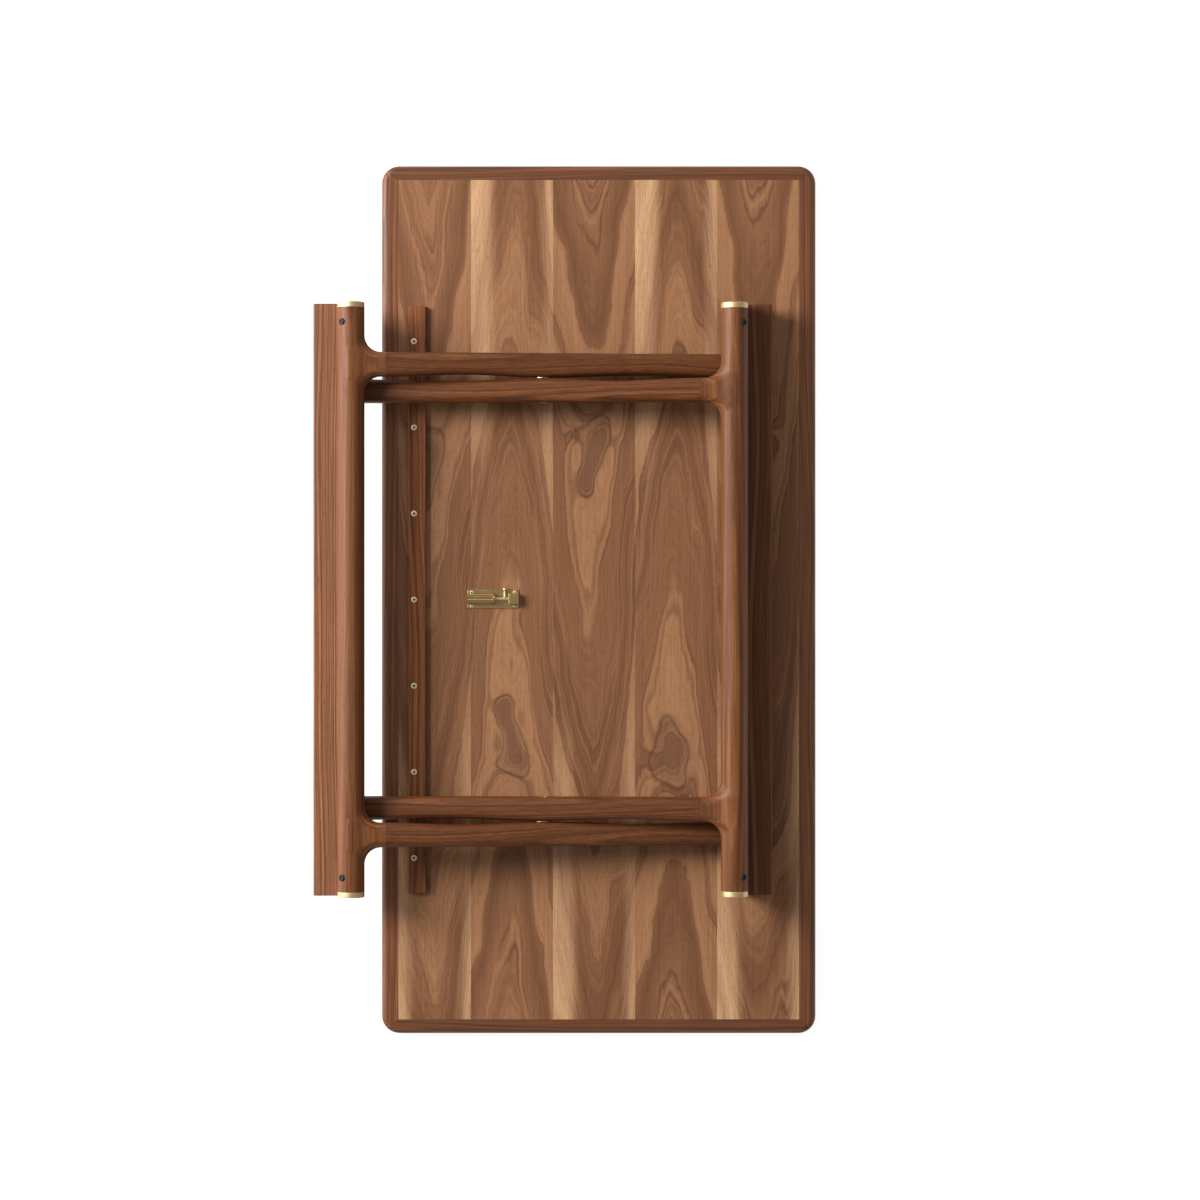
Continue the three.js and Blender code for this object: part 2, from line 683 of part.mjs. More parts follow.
function pivotBolt(side) {
  const headTop = outerFace - COUNTERBORE_DEPTH + TOUCH_GAP + BOLT_HEAD_LENGTH;
  const headBase = headTop - BOLT_HEAD_LENGTH;
  const socketBase = headTop - BOLT_SOCKET_DEPTH;
  const head = onPivot(BOLT_HEAD_RADIUS, side * headBase, side * headTop);
  const shank = onPivot(BOLT_RADIUS, side * (innerFace + TOUCH_GAP), side * headBase);
  const socketTop = side * (headTop + SPARE);
  const socket = onPivot(BOLT_SOCKET_RADIUS, side * socketBase, socketTop, HEXAGON_SIDES);
  return head.add(shank).subtract(socket);
}

// a disc or hexagon threaded on the bolt, between two distances from the middle of the table
function ringOnBolt(radius, low, high, side, sides) {
  const ring = onPivot(radius, side * low, side * high, sides);
  return ring.subtract(onPivot(BOLT_RADIUS + TOUCH_GAP, side * (low - SPARE), side * (high + SPARE)));
}

function pivotWasher(side) {
  const low = INNER_LEG_Y + LEG_WIDTH / 2 + TOUCH_GAP;
  const high = OUTER_LEG_Y - LEG_WIDTH / 2 - TOUCH_GAP;
  return ringOnBolt(WASHER_RADIUS, low, high, side, BORE_SIDES);
}

function pivotNut(side) {
  const top = innerFace + COUNTERBORE_DEPTH - TOUCH_GAP;
  return ringOnBolt(NUT_RADIUS, top - NUT_LENGTH + TOUCH_GAP, top, side, HEXAGON_SIDES);
}

// ---- Assembly -----------------------------------------------------------------------------

function place(parent, name, body, material) {
  const mesh = new THREE.Mesh(surface(body), material);
  mesh.name = name;
  parent.add(mesh);
  return mesh;
}

function placeScrew(parent, name, size, [x, y, z]) {
  const mesh = place(parent, name, solid(screwBody(size)), brass);
  mesh.position.set(x, y, z);
  return mesh;
}

const table = new THREE.Group();
place(table, 'top_panel', topPanel(), veneer);
[-1, 1].forEach((side, i) => {
  place(table, `side_lipping_${i + 1}`, sideLipping(side), walnut);
  place(table, `end_lipping_${i + 1}`, endLipping(side), walnut);
});
place(table, 'stop_cleat', stopCleat(), walnut);
cleatScrewPlaces.forEach((spot, i) => placeScrew(table, `cleat_screw_${i + 1}`, CLEAT_SCREW, spot));
place(table, 'catch_plate', catchPlate(), brass);
place(table, 'catch_barrel', catchBarrel(), brass);
place(table, 'catch_guide', catchGuide(), brass);
place(table, 'catch_rod', catchRod(), brass);
place(table, 'catch_lever', catchLever(), brass);
catchScrewPlaces.forEach((spot, i) => placeScrew(table, `catch_screw_${i + 1}`, CATCH_SCREW, spot));

// the two frames turn as one set on the hinge axis
const legSet = new THREE.Group();
legSet.position.set(HINGE_X, 0, underside + HINGE_HEIGHT);
legSet.rotation.y = FOLDED_LIFT;
const outerFrame = new THREE.Group();
const innerFrame = new THREE.Group();
innerFrame.position.x = 2 * PIVOT_X;
innerFrame.rotation.z = Math.PI;
legSet.add(outerFrame, innerFrame);
const hingeSeat = new THREE.Group();
hingeSeat.position.copy(legSet.position);

function placeFrame(frame, prefix, legY, facing) {
  place(frame, `${prefix}_foot_bar`, footBar(legY), walnut);
  [-1, 1].forEach((side, i) => {
    place(frame, `${prefix}_leg_${i + 1}`, leg(legY, side, side * facing), walnut);
    place(frame, `${prefix}_foot_cap_${i + 1}`, footCap(side), brass);
    place(frame, `${prefix}_foot_pad_${i + 1}`, footPad(side), rubber);
  });
}

placeFrame(outerFrame, 'outer', OUTER_LEG_Y, -1);
place(outerFrame, 'hinged_rail', hingedRail(), walnut);
placeFrame(innerFrame, 'inner', INNER_LEG_Y, 1);
place(innerFrame, 'free_rail', freeRail(), walnut);
place(innerFrame, 'strike_ferrule', strikeFerrule(), brass);

[-1, 1].forEach((side, i) => {
  place(outerFrame, `pivot_bolt_${i + 1}`, pivotBolt(side), brass);
  place(outerFrame, `pivot_washer_${i + 1}`, pivotWasher(side), brass);
  place(outerFrame, `pivot_nut_${i + 1}`, pivotNut(side), brass);

  const centreY = side * BUTT_Y;
  const pinSpan = [centreY - BUTT_LENGTH / 2, centreY + BUTT_LENGTH / 2];
  place(hingeSeat, `hinge_${i + 1}_table_leaf`, tableLeaf(centreY), brass);
  place(legSet, `hinge_${i + 1}_pin`, solid(cylinderY(PIN_RADIUS, pinSpan, 0, 0)), brass);
  const onRail = new THREE.Group();
  onRail.rotation.y = -hingedBevel;
  outerFrame.add(onRail);
  place(onRail, `hinge_${i + 1}_rail_leaf`, railLeaf(centreY), brass);
  leafScrewOffsets(centreY).forEach(([x, y], j) => {
    const tableScrew = `hinge_${i + 1}_table_screw_${j + 1}`;
    placeScrew(hingeSeat, tableScrew, LEAF_SCREW, [x, y, tableLeafTop]);
    const railScrew = `hinge_${i + 1}_rail_screw_${j + 1}`;
    placeScrew(onRail, railScrew, LEAF_SCREW, [x, y, leafBottom]).rotation.x = Math.PI;
  });
});

const foldingTable = new THREE.Group();
foldingTable.add(table, hingeSeat, legSet);
export default foldingTable;
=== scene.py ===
import json
import math

import bmesh
import bpy
import numpy as np
from mathutils import Matrix, Vector

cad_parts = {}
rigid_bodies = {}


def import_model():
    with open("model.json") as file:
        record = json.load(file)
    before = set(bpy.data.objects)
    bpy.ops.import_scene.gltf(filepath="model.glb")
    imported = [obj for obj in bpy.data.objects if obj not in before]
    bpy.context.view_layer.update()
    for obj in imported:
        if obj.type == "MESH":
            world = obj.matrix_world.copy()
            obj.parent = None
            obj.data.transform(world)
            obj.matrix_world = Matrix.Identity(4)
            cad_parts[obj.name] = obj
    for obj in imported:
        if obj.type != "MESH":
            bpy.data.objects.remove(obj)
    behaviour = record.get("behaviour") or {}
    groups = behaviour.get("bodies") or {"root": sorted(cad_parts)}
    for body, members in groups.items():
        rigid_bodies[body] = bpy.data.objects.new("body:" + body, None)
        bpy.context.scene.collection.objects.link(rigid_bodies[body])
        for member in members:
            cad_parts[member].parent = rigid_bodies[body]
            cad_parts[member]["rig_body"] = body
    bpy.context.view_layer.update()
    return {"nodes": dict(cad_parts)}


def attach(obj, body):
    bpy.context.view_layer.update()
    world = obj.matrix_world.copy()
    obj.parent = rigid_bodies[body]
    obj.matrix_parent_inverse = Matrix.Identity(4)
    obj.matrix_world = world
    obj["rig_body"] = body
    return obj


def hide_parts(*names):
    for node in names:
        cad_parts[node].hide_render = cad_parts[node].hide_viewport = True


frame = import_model()

# ---- Dimensions in millimetres -----------------------------------
# Sizes and places are the CAD model's. Some edges are rounded a little more softly here.

MM = 0.001
GAP = 0.3
# How far a cutting tool runs past the surface that it cuts.
SPARE = 1

TOP_LENGTH = 1200
TOP_WIDTH = 600
UNDERSIDE = 22
TOP_CORNER_RADIUS = 24
UNDERSIDE_ROUND = 8
SHOW_FACE_ROUND = 2.5
SIDE_LIPPING = 23
END_LIPPING = 20
MITRE_GAP = 0.1
MITRE_EDGE = 0.25

FRAME_LENGTH = 810
HINGE_X = 197
HINGE_HEIGHT = 2.6
FOLDED_LIFT = math.radians(1.15)
SPREAD = math.radians(38.6036)
RAIL_HEIGHT = 34
RAIL_REACH = 40.2
RAIL_INNER = 4.3
BEARING_DROP = 2.2
RAIL_CORNER_RADII = [1.2, 1.0, 1.0, 2.6, 2.0]
RAIL_END_EDGE = 0.9
FOOT_X = -535.3
FOOT_Z = 55.4
FOOT_RADIUS = 18.5
PIVOT_X = -274

OUTER_LEG_Y = 320.5
INNER_LEG_Y = 286
LEG_WIDTH = 33
LEG_THICKNESS = 32
LEG_WAIST = 3.4
LEG_EDGE = 10
LEG_END_EDGE = 0.3
LEG_JOINT_GAP = 0.1
LEG_BAYS = 60
STUB_LENGTH = 48
STUB_X = FOOT_X + STUB_LENGTH
STUB_FILLET = 23
STUB_SOFTNESS = 7
BAR_GRID = 2.2
CAP_LENGTH = 8
BAR_END = FRAME_LENGTH / 2 - CAP_LENGTH
# Each point of the cap's rim: how far inside the bar's radius, and how far short of the cap's end.
CAP_RIM = [(0, 1.1), (0.3, 0.4), (1.0, 0), (9, 0)]
CAP_FOOT_EDGE = 0.35
PAD_Y = 377.3
PAD_RADIUS = 4.6
PAD_PROUD = 1.8
PAD_DEPTH = 5
PAD_SOCKET_ROOM = 0.15
PAD_FLOOR_GAP = 0.1
# Each point of the pad's dished crown: its radius, and how far below the crown it lies.
PAD_CROWN = [(4.6, 0.9), (4.35, 0.4), (3.8, 0.1), (3.0, 0), (2.2, 0.05), (1.8, 0.3), (1.6, 0.9), (0.3, 1.1)]

BOLT_RADIUS = 4
BOLT_HEAD_RADIUS = 7
BOLT_HEAD_LENGTH = 4.5
BOLT_TIP_EDGE = 0.5
BOLT_HEAD_EDGE = 0.6
BOLT_SOCKET_RADIUS = 2.94
BOLT_SOCKET_DEPTH = 2.6
COUNTERBORE_DEPTH = 5
NUT_RADIUS = 6.5
NUT_EDGE = 0.4
WASHER_RADIUS = 11
WASHER_EDGE = 0.2

CLEAT_X = (-262.3, -238.8)
CLEAT_HEIGHT = 8
CLEAT_EDGE = 1.1
CLEAT_SCREW_X = -254.8
CLEAT_SCREW_PITCH = 118.8
CLEAT_SCREWS = 7

BUTT_Y = 205
BUTT_LENGTH = 60
KNUCKLE_RADIUS = 2.4
PIN_RADIUS = 1
PIN_ROOM = 0.2
PIN_EDGE = 0.2
LEAF_THICKNESS = 1.2
LEAF_EDGE = 0.2
LEAF_X = (1.8, 22)
LEAF_SCREW_X = 13
LEAF_SCREW_SPREAD = 18
LEAF_BOTTOM = LEAF_THICKNESS + GAP - HINGE_HEIGHT

CATCH_Y = 1
CATCH_X = (-181.5, -110)
CATCH_PLATE_WIDTH = 26
CATCH_PLATE_THICKNESS = 1.2
CATCH_PLATE_EDGE = 0.55
CATCH_SCREW_INSET = 6
CATCH_SCREW_SPREAD = 9
ROD_HEIGHT = 4.8
ROD_RADIUS = 2.4
ROD_BORE = 2.8
ROD_X = (-180.4, -112)
ROD_EDGE = 0.5
BARREL_RADIUS = 7
BARREL_END_X = -145.5
BARREL_FLUTES = 9
FLUTE_DEPTH = 0.9
FLUTE_STEPS = 12
BARREL_EDGE = 0.35
COLLAR_RADIUS = 7.8
COLLAR_END_X = -142.8
GUIDE_X = -124.5
GUIDE_WIDTH = 15
GUIDE_HEIGHT = 9.5
GUIDE_EDGE = 0.9
GUIDE_WALL = 1
LEVER_X = -129.6
LEVER_RADIUS = 1.7
LEVER_REACH = 13
LEVER_KNOB_RADIUS = 2.7
LEVER_KNOB_RINGS = 14
SLEEVE_RADIUS = 3.1
SLEEVE_EDGE = 0.3
STRIKE_RADIUS = 3.5
STRIKE_DEPTH = 11

CLEAT_SCREW = {"head": 4.15, "length": 20}
LEAF_SCREW = {"head": 2.4, "length": 9}
CATCH_SCREW = {"head": 2.6, "length": 11}
# A screw's details, as shares of its head's radius.
SCREW_CROWN = 0.1
RECESS_ARM = 0.56
RECESS_HALF_WIDTH = 0.15
RECESS_CENTRE = 0.32
RECESS_DEPTH = 0.5
RECESS_TURN = 0.4
COUNTERSINK_ROOM = 0.2

SIDES = 48
FINE_SIDES = 72
SCREW_SIDES = 32
RECESS_SIDES = 24
HEXAGON_SIDES = 6
SHARP_ANGLE = math.radians(32)

# ---- Colours, as screen values from 0 to 255 ---------------------
# A ramp is a list of (place, colour).

WALNUT_RAMP = [(0.28, (99, 53, 26)), (0.45, (120, 69, 35)), (0.58, (137, 83, 46)), (0.74, (156, 101, 61))]
WALNUT_LINE = (70, 42, 26)
WALNUT_SHADE = (106, 66, 40)
FIBRE_RAMP = [(0.32, (150, 140, 132)), (0.62, (255, 255, 255))]
PORE_COLOUR = (58, 36, 25)
VENEER_RAMP = [
    (0.3, (110, 71, 46)),
    (0.44, (129, 87, 58)),
    (0.5, (138, 94, 64)),
    (0.54, (149, 104, 71)),
    (0.68, (166, 120, 84)),
]
VENEER_LINE = (88, 54, 36)
SAPWOOD_RAMP = [(0.3, (176, 130, 95)), (0.62, (212, 170, 128))]
HEART_COLOUR = (108, 74, 54)
HEART_RIM = (70, 44, 30)
LEAF_RAMP = [(0.35, (226, 222, 218)), (0.65, (255, 255, 255))]
BRIGHT_BRASS = (226, 203, 160)
CAP_BRASS = (214, 188, 142)
AGED_BRASS = (190, 160, 108)
SCREW_BRASS = (252, 228, 192)
HINGE_BRASS = (206, 190, 146)
# Painted shade for the recess of a screw.
RECESS_SHADE = (40, 26, 18)
RUBBER_RAMP = [(0.3, (14, 12, 11)), (0.7, (28, 26, 24))]
FLOOR_RAMP = [(0.3, (176, 176, 176)), (0.7, (182, 182, 182))]

# ---- Texture, as features in a metre across and along the grain ----

FIBRES = (700, 9)
PORES = (1500, 90)
RING_WANDER = (7, 1.6)
RING_RIPPLE = (50, 9)
BROAD_SHADING = (16, 2.2)
WANDER_REACH = 0.034
RIPPLE_REACH = 0.0022
GROWTH_RINGS = 330
DARK_RINGS = 210
VENEER_BANDS = 52
VENEER_STREAKS = 420
BRUSHING = (2600, 60)
TARNISH = (90, 60)
RUBBER_GRAIN = (2200, 2200)
FLOOR_GRAIN = (3, 3)

# Each pair is where a change of shade starts and where it is complete.
PORE_EDGE = (0.6, 0.74)
DARK_RING_EDGE = (0.035, 0.0)
BROAD_EDGE = (0.35, 0.7)
TARNISH_EDGE = (0.45, 0.75)
# Painted shade in a screw's recess starts this far below its face, in millimetres, and is full at the
# second depth.
RECESS_SHADE_DEPTH = (0.25, 0.75)
# How much of each layer of colour shows.
PORE_SHARE = 0.5
DARK_RING_SHARE = 0.4
BROAD_SHARE = 0.3
SOLID_FIBRE_SHARE = 0.55
VENEER_FIBRE_SHARE = 0.28
TARNISH_SHARE = 0.45
TARNISH_DARKENING = 0.62
# How rough wood is, how much its fibres add, and how deep its bumps are in metres.
WOOD_ROUGHNESS = 0.4
FIBRE_ROUGHNESS = 0.16
WOOD_BUMP = (0.0002, 0.35)
BRASS_BUMP = (0.00008, 0.4)
RUBBER_BUMP = (0.0001, 0.4)

# ---- Veneer figure, in metres ------------------------------------

VENEER_START = -0.1765
VENEER_PITCH = 0.1134
LEAF_DRIFT = 0.006
LEAF_CHANGE = 0.004
LEAF_SCALE = 60
ARCH_ROUND = 0.035
ARCH_SLOPE = 0.12
HEART_AHEAD = 0.19
HEART_SIZE = (0.019, 0.062)
HEART_RISE = 0.03
# Waves: how many fit in a metre across and along, their detail, and how far they reach.
HEART_ASIDE_WAVES = (18, 16, 0.4, 0.055)
HEART_AHEAD_WAVES = (13, 20, 0.6, 0.13)
BROAD_WAVES = (14, 2.2, 1, 0.042)
FINE_WAVES = (44, 12, 3, 0.012)
EDGE_WAVES = (8, 4, 1, 0.16)
LINE_WAVES = (11, 5, 1)
# As above, where each change of shade starts and where it is complete.
LINE_EDGE = (0.02, 0.0)
LINE_PATCHES = (-0.08, 0.12)
HEART_EDGE = (0.08, 0.7)
RIM_AT = 0.36
RIM_EDGE = (0.1, 0.0)
SAPWOOD_EDGE = (0.33, 0.16)
SAPWOOD_AHEAD = (0.14, 0.36)
STREAK_EDGE = (0.82, 0.97)
STREAK_AHEAD = (0.05, 0.3)
# How much of each layer of colour shows.
FINE_STREAK_SHARE = 0.22
LINE_SHARE = 0.6
STREAK_SHARE = 0.6
PALE_SHARE = 0.78
HEART_SHARE = 0.5
RIM_SHARE = 0.5

# ---- Stage, in metres and watts ----------------------------------

CAMERA_HEIGHT = 4.5
CAMERA_FIELD = math.radians(20.88)
CAMERA_PLACE = (0.0018, -0.0005, UNDERSIDE * MM + CAMERA_HEIGHT)
LIGHTS = {
    "key_light": {"place": (-3.7, 1.6, 2.75), "size": 2.0, "power": 385},
    "low_side_light": {"place": (-3.6, 0.3, 0.75), "size": 1.6, "power": 62},
    "far_fill": {"place": (0.6, 3.0, 2.2), "size": 2.2, "power": 14},
}
WORLD_STRENGTH = 0.33
FLOOR_SIZE = 60
FLOOR_GLOW = 0.85

# ---- Placing -----------------------------------------------------

TABLE = Matrix.Identity(4)
HINGE_SEAT = Matrix.Translation((HINGE_X, 0, UNDERSIDE + HINGE_HEIGHT))
OUTER_FRAME = HINGE_SEAT @ Matrix.Rotation(FOLDED_LIFT, 4, "Y")
INNER_FRAME = OUTER_FRAME @ Matrix.Translation((2 * PIVOT_X, 0, 0)) @ Matrix.Rotation(math.pi, 4, "Z")
HINGED_BEVEL = SPREAD + FOLDED_LIFT
FREE_BEVEL = SPREAD
ON_HINGED_RAIL = Matrix.Rotation(-HINGED_BEVEL, 4, "Y")
TO_X = Matrix.Rotation(math.pi / 2, 4, "Y")
TO_Y = Matrix.Rotation(-math.pi / 2, 4, "X")
UPSIDE_DOWN = Matrix.Rotation(math.pi, 4, "X")

LEG_SLOPE = (FOOT_Z - RAIL_HEIGHT / 2) / (-RAIL_INNER - FOOT_X)


def leg_centre(x):
    """Height of a leg's centre line in its frame's own section."""
    return RAIL_HEIGHT / 2 + LEG_SLOPE * (-RAIL_INNER - x)


AT_PIVOT = (PIVOT_X, 0, leg_centre(PIVOT_X))


# ---- Node trees --------------------------------------------------


def colour(red, green, blue):
    """A linear colour from screen values."""
    linear = [((v / 255 + 0.055) / 1.055) ** 2.4 for v in (red, green, blue)]
    return (*linear, 1)


class Nodes:
    """One material's node tree. Each call adds a node and returns its output."""

    def __init__(self, name, slot):
        self.material = bpy.data.materials.new(name)
        self.material["slot"] = slot
        self.material.use_nodes = True
        self.tree = self.material.node_tree
        self.tree.nodes.clear()
        self.place = self.add("TexCoord", output="Object")

    def add(self, kind, inputs=None, output=0, **settings):
        made = self.tree.nodes.new("ShaderNode" + kind)
        for key, value in settings.items():
            setattr(made, key, value)
        for key, value in (inputs or {}).items():
            if isinstance(value, bpy.types.NodeSocket):
                self.tree.links.new(value, made.inputs[key])
            else:
                made.inputs[key].default_value = value
        return made.outputs[output] if made.outputs else None

    def math(self, operation, *values):
        return self.add("Math", dict(enumerate(values)), operation=operation)

    def axis(self, letter):
        return self.add("SeparateXYZ", {0: self.place}, output=letter)

    def stretched(self, along, across_scale, along_scale, shift=0.0):
        """The object's own coordinates, with features that are long along the grain."""
        scale = [across_scale] * 3
        scale["XYZ".index(along)] = along_scale
        return self.add("Mapping", {"Vector": self.place, "Scale": scale, "Location": [shift] * 3})

    def noise(self, vector, detail=2.0, roughness=0.5):
        inputs = {"Vector": vector, "Scale": 1.0, "Detail": detail, "Roughness": roughness}
        return self.add("TexNoise", inputs)

    def layers(self, value, detail=2.0, roughness=0.5):
        """Noise that changes along one value only, like the layers of growth in wood."""
        inputs = {"W": value, "Scale": 1.0, "Detail": detail, "Roughness": roughness}
        return self.add("TexNoise", inputs, noise_dimensions="1D")

    def step(self, value, low, high):
        """Eases from 0 at low to 1 at high, or down if low is the larger."""
        if low < high:
            inputs = {"Value": value, "From Min": low, "From Max": high}
        else:
            inputs = {"Value": value, "From Min": high, "From Max": low, "To Min": 1.0, "To Max": 0.0}
        return self.add("MapRange", inputs, interpolation_type="SMOOTHSTEP")

    def ramp(self, value, stops):
        """A colour that follows a value, through (place, colour) stops."""
        made = self.tree.nodes.new("ShaderNodeValToRGB")
        self.tree.links.new(value, made.inputs[0])
        while len(made.color_ramp.elements) < len(stops):
            made.color_ramp.elements.new(1.0)
        for element, (position, shade) in zip(made.color_ramp.elements, stops):
            element.position = position
            element.color = colour(*shade)
        return made.outputs[0]

    def mix(self, share, first, second, blend="MIX"):
        inputs = {0: share, 6: first, 7: second}
        return self.add("Mix", inputs, output=2, data_type="RGBA", blend_type=blend)

    def bump(self, height, distance, strength):
        return self.add("Bump", {"Height": height, "Distance": distance, "Strength": strength})

    def finish(self, **shader):
        names = {key.replace("_", " ").title(): value for key, value in shader.items()}
        names = {key.replace("Ior", "IOR"): value for key, value in names.items()}
        surface = self.add("BsdfPrincipled", names)
        self.add("OutputMaterial", {"Surface": surface})
        return self.material


# ---- Walnut ------------------------------------------------------


def wood_finish(n, shade, along, shift, shine, fibre_share):
    """Fibres, pores and a satin oil finish over a wood colour."""
    fibre = n.noise(n.stretched(along, *FIBRES, shift), detail=3, roughness=0.6)
    shade = n.mix(fibre_share, shade, n.ramp(fibre, FIBRE_RAMP), "MULTIPLY")
    pores = n.step(n.noise(n.stretched(along, *PORES, shift), detail=1), *PORE_EDGE)
    shade = n.mix(n.math("MULTIPLY", pores, PORE_SHARE), shade, colour(*PORE_COLOUR))
    height = n.math("SUBTRACT", n.math("MULTIPLY", fibre, 0.3), pores)
    return n.finish(
        base_color=shade,
        roughness=n.math("MULTIPLY_ADD", fibre, FIBRE_ROUGHNESS, WOOD_ROUGHNESS),
        specular_ior_level=shine,
        normal=n.bump(height, *WOOD_BUMP),
    )


def walnut(name, along, pith, shift, tone, rise=0.0, shine=0.22, warmth=1.0):
    """Solid walnut. The rings lie round a pith line that runs along the grain, at an offset
    across and in height from the object's axes, and it climbs by rise along X. Shift tells
    one board from another, and a warmth above 1 takes blue and a little green out."""

    def tinted(shade):
        red, green, blue = shade
        return red * tone, green * tone / warmth**0.3, blue * tone / warmth

    n = Nodes(name, "walnut")
    across = n.axis("X" if along == "Y" else "Y")
    aside = n.math("SUBTRACT", across, pith[0])
    climb = n.math("MULTIPLY_ADD", n.axis("X"), -rise, n.axis("Z"))
    height = n.math("SUBTRACT", climb, pith[1])
    radius = n.math("SQRT", n.math("ADD", n.math("POWER", aside, 2), n.math("POWER", height, 2)))
    wander = n.noise(n.stretched(along, *RING_WANDER, shift), detail=1)
    ripple = n.noise(n.stretched(along, *RING_RIPPLE, shift), detail=1)
    radius = n.math("MULTIPLY_ADD", wander, WANDER_REACH, radius)
    radius = n.math("MULTIPLY_ADD", ripple, RIPPLE_REACH, radius)
    rings = n.math("MULTIPLY_ADD", radius, GROWTH_RINGS, shift)
    growth = n.layers(rings, detail=3, roughness=0.65)
    shade = n.ramp(growth, [(place, tinted(tint)) for place, tint in WALNUT_RAMP])
    thin = n.layers(n.math("MULTIPLY_ADD", radius, DARK_RINGS, shift + 7))
    off_line = n.math("ABSOLUTE", n.math("SUBTRACT", thin, 0.5))
    line_share = n.math("MULTIPLY", n.step(off_line, *DARK_RING_EDGE), DARK_RING_SHARE)
    shade = n.mix(line_share, shade, colour(*tinted(WALNUT_LINE)))
    broad_noise = n.noise(n.stretched(along, *BROAD_SHADING, shift + 3), detail=2)
    broad = n.math("MULTIPLY", n.step(broad_noise, *BROAD_EDGE), BROAD_SHARE)
    shade = n.mix(broad, shade, colour(*tinted(WALNUT_SHADE)))
    return wood_finish(n, shade, along, shift, shine, SOLID_FIBRE_SHARE)


def gaussian(n, aside, ahead, half_width, half_length):
    """A bump of height 1 that fades over the two half sizes."""
    wide = n.math("POWER", n.math("DIVIDE", aside, half_width), 2)
    long = n.math("POWER", n.math("DIVIDE", ahead, half_length), 2)
    return n.math("EXPONENT", n.math("MULTIPLY", n.math("ADD", wide, long), -1))


def walnut_veneer():
    """Leaves cut one after another from a log and laid side by side, every second one turned
    end for end. Each shows the same cathedral figure, a swirl of heartwood and a sapwood edge.
    In a leaf, share runs from 0 to 1 across it, aside is that in metres, and ahead is along it."""
    n = Nodes("walnut_veneer_leaves", "walnut_veneer")
    across = n.math("DIVIDE", n.math("SUBTRACT", n.axis("X"), VENEER_START), VENEER_PITCH)
    leaf = n.math("FLOOR", across)
    share = n.math("FRACT", across)
    turned_leaf = n.math("PINGPONG", leaf, 1)
    way = n.math("MULTIPLY_ADD", turned_leaf, -2, 1)
    drift = n.math("MULTIPLY", leaf, LEAF_DRIFT)
    ahead = n.math("MULTIPLY_ADD", n.axis("Y"), way, drift)
    aside = n.math("MULTIPLY", share, VENEER_PITCH)

    plan = n.add("CombineXYZ", {0: aside, 1: ahead, 2: n.math("MULTIPLY", leaf, LEAF_CHANGE)})

    def waves(across_scale, along_scale, detail):
        """Noise about 0 that changes slowly from one leaf to the next."""
        scale = (across_scale, along_scale, LEAF_SCALE)
        scaled = n.add("Mapping", {"Vector": plan, "Scale": scale})
        return n.math("SUBTRACT", n.noise(scaled, detail=detail), 0.5)

    def waved(value, across_scale, along_scale, detail, reach):
        return n.math("MULTIPLY_ADD", waves(across_scale, along_scale, detail), reach, value)

    centre = n.math("MULTIPLY_ADD", n.layers(n.math("MULTIPLY", ahead, 5)), 0.03, 0.04)
    off_centre = n.math("SUBTRACT", aside, centre)
    arch = n.math("SQRT", n.math("MULTIPLY_ADD", off_centre, off_centre, ARCH_ROUND**2))
    figure = n.math("MULTIPLY_ADD", ahead, ARCH_SLOPE, arch)
    heart_aside = waved(off_centre, *HEART_ASIDE_WAVES)
    heart_ahead = waved(n.math("ADD", ahead, HEART_AHEAD), *HEART_AHEAD_WAVES)
    heart = gaussian(n, heart_aside, heart_ahead, *HEART_SIZE)
    figure = n.math("MULTIPLY_ADD", heart, HEART_RISE, figure)
    figure = waved(waved(figure, *BROAD_WAVES), *FINE_WAVES)

    bands = n.layers(n.math("MULTIPLY", figure, VENEER_BANDS), detail=1.2)
    streaks = n.layers(n.math("MULTIPLY", figure, VENEER_STREAKS), detail=2)
    wide_bands = n.math("MULTIPLY", bands, 1 - FINE_STREAK_SHARE)
    growth = n.math("MULTIPLY_ADD", streaks, FINE_STREAK_SHARE, wide_bands)
    shade = n.ramp(growth, VENEER_RAMP)
    off_line = n.math("ABSOLUTE", n.math("SUBTRACT", bands, 0.5))
    patches = n.math("MULTIPLY", n.step(waves(*LINE_WAVES), *LINE_PATCHES), LINE_SHARE)
    line_share = n.math("MULTIPLY", n.step(off_line, *LINE_EDGE), patches)
    shade = n.mix(line_share, shade, colour(*VENEER_LINE))

    edge_wave = waved(share, *EDGE_WAVES)
    sapwood = n.math("MULTIPLY", n.step(edge_wave, *SAPWOOD_EDGE), n.step(ahead, *SAPWOOD_AHEAD))
    streak = n.math("MULTIPLY", n.step(edge_wave, *STREAK_EDGE), n.step(ahead, *STREAK_AHEAD))
    palest = n.math("MAXIMUM", sapwood, n.math("MULTIPLY", streak, STREAK_SHARE))
    pale = n.math("MULTIPLY", palest, PALE_SHARE)
    shade = n.mix(pale, shade, n.ramp(growth, SAPWOOD_RAMP))
    core = n.math("MULTIPLY", n.step(heart, *HEART_EDGE), HEART_SHARE)
    shade = n.mix(core, shade, colour(*HEART_COLOUR))
    off_rim = n.math("ABSOLUTE", n.math("SUBTRACT", heart, RIM_AT))
    rim = n.math("MULTIPLY", n.step(off_rim, *RIM_EDGE), RIM_SHARE)
    shade = n.mix(rim, shade, colour(*HEART_RIM))
    leaf_tone = n.layers(n.math("MULTIPLY_ADD", leaf, 3.7, 0.5))
    shade = n.mix(1.0, shade, n.ramp(leaf_tone, LEAF_RAMP), "MULTIPLY")
    return wood_finish(n, shade, "Y", 0.0, shine=0.2, fibre_share=VENEER_FIBRE_SHARE)


# ---- Metal and rubber --------------------------------------------


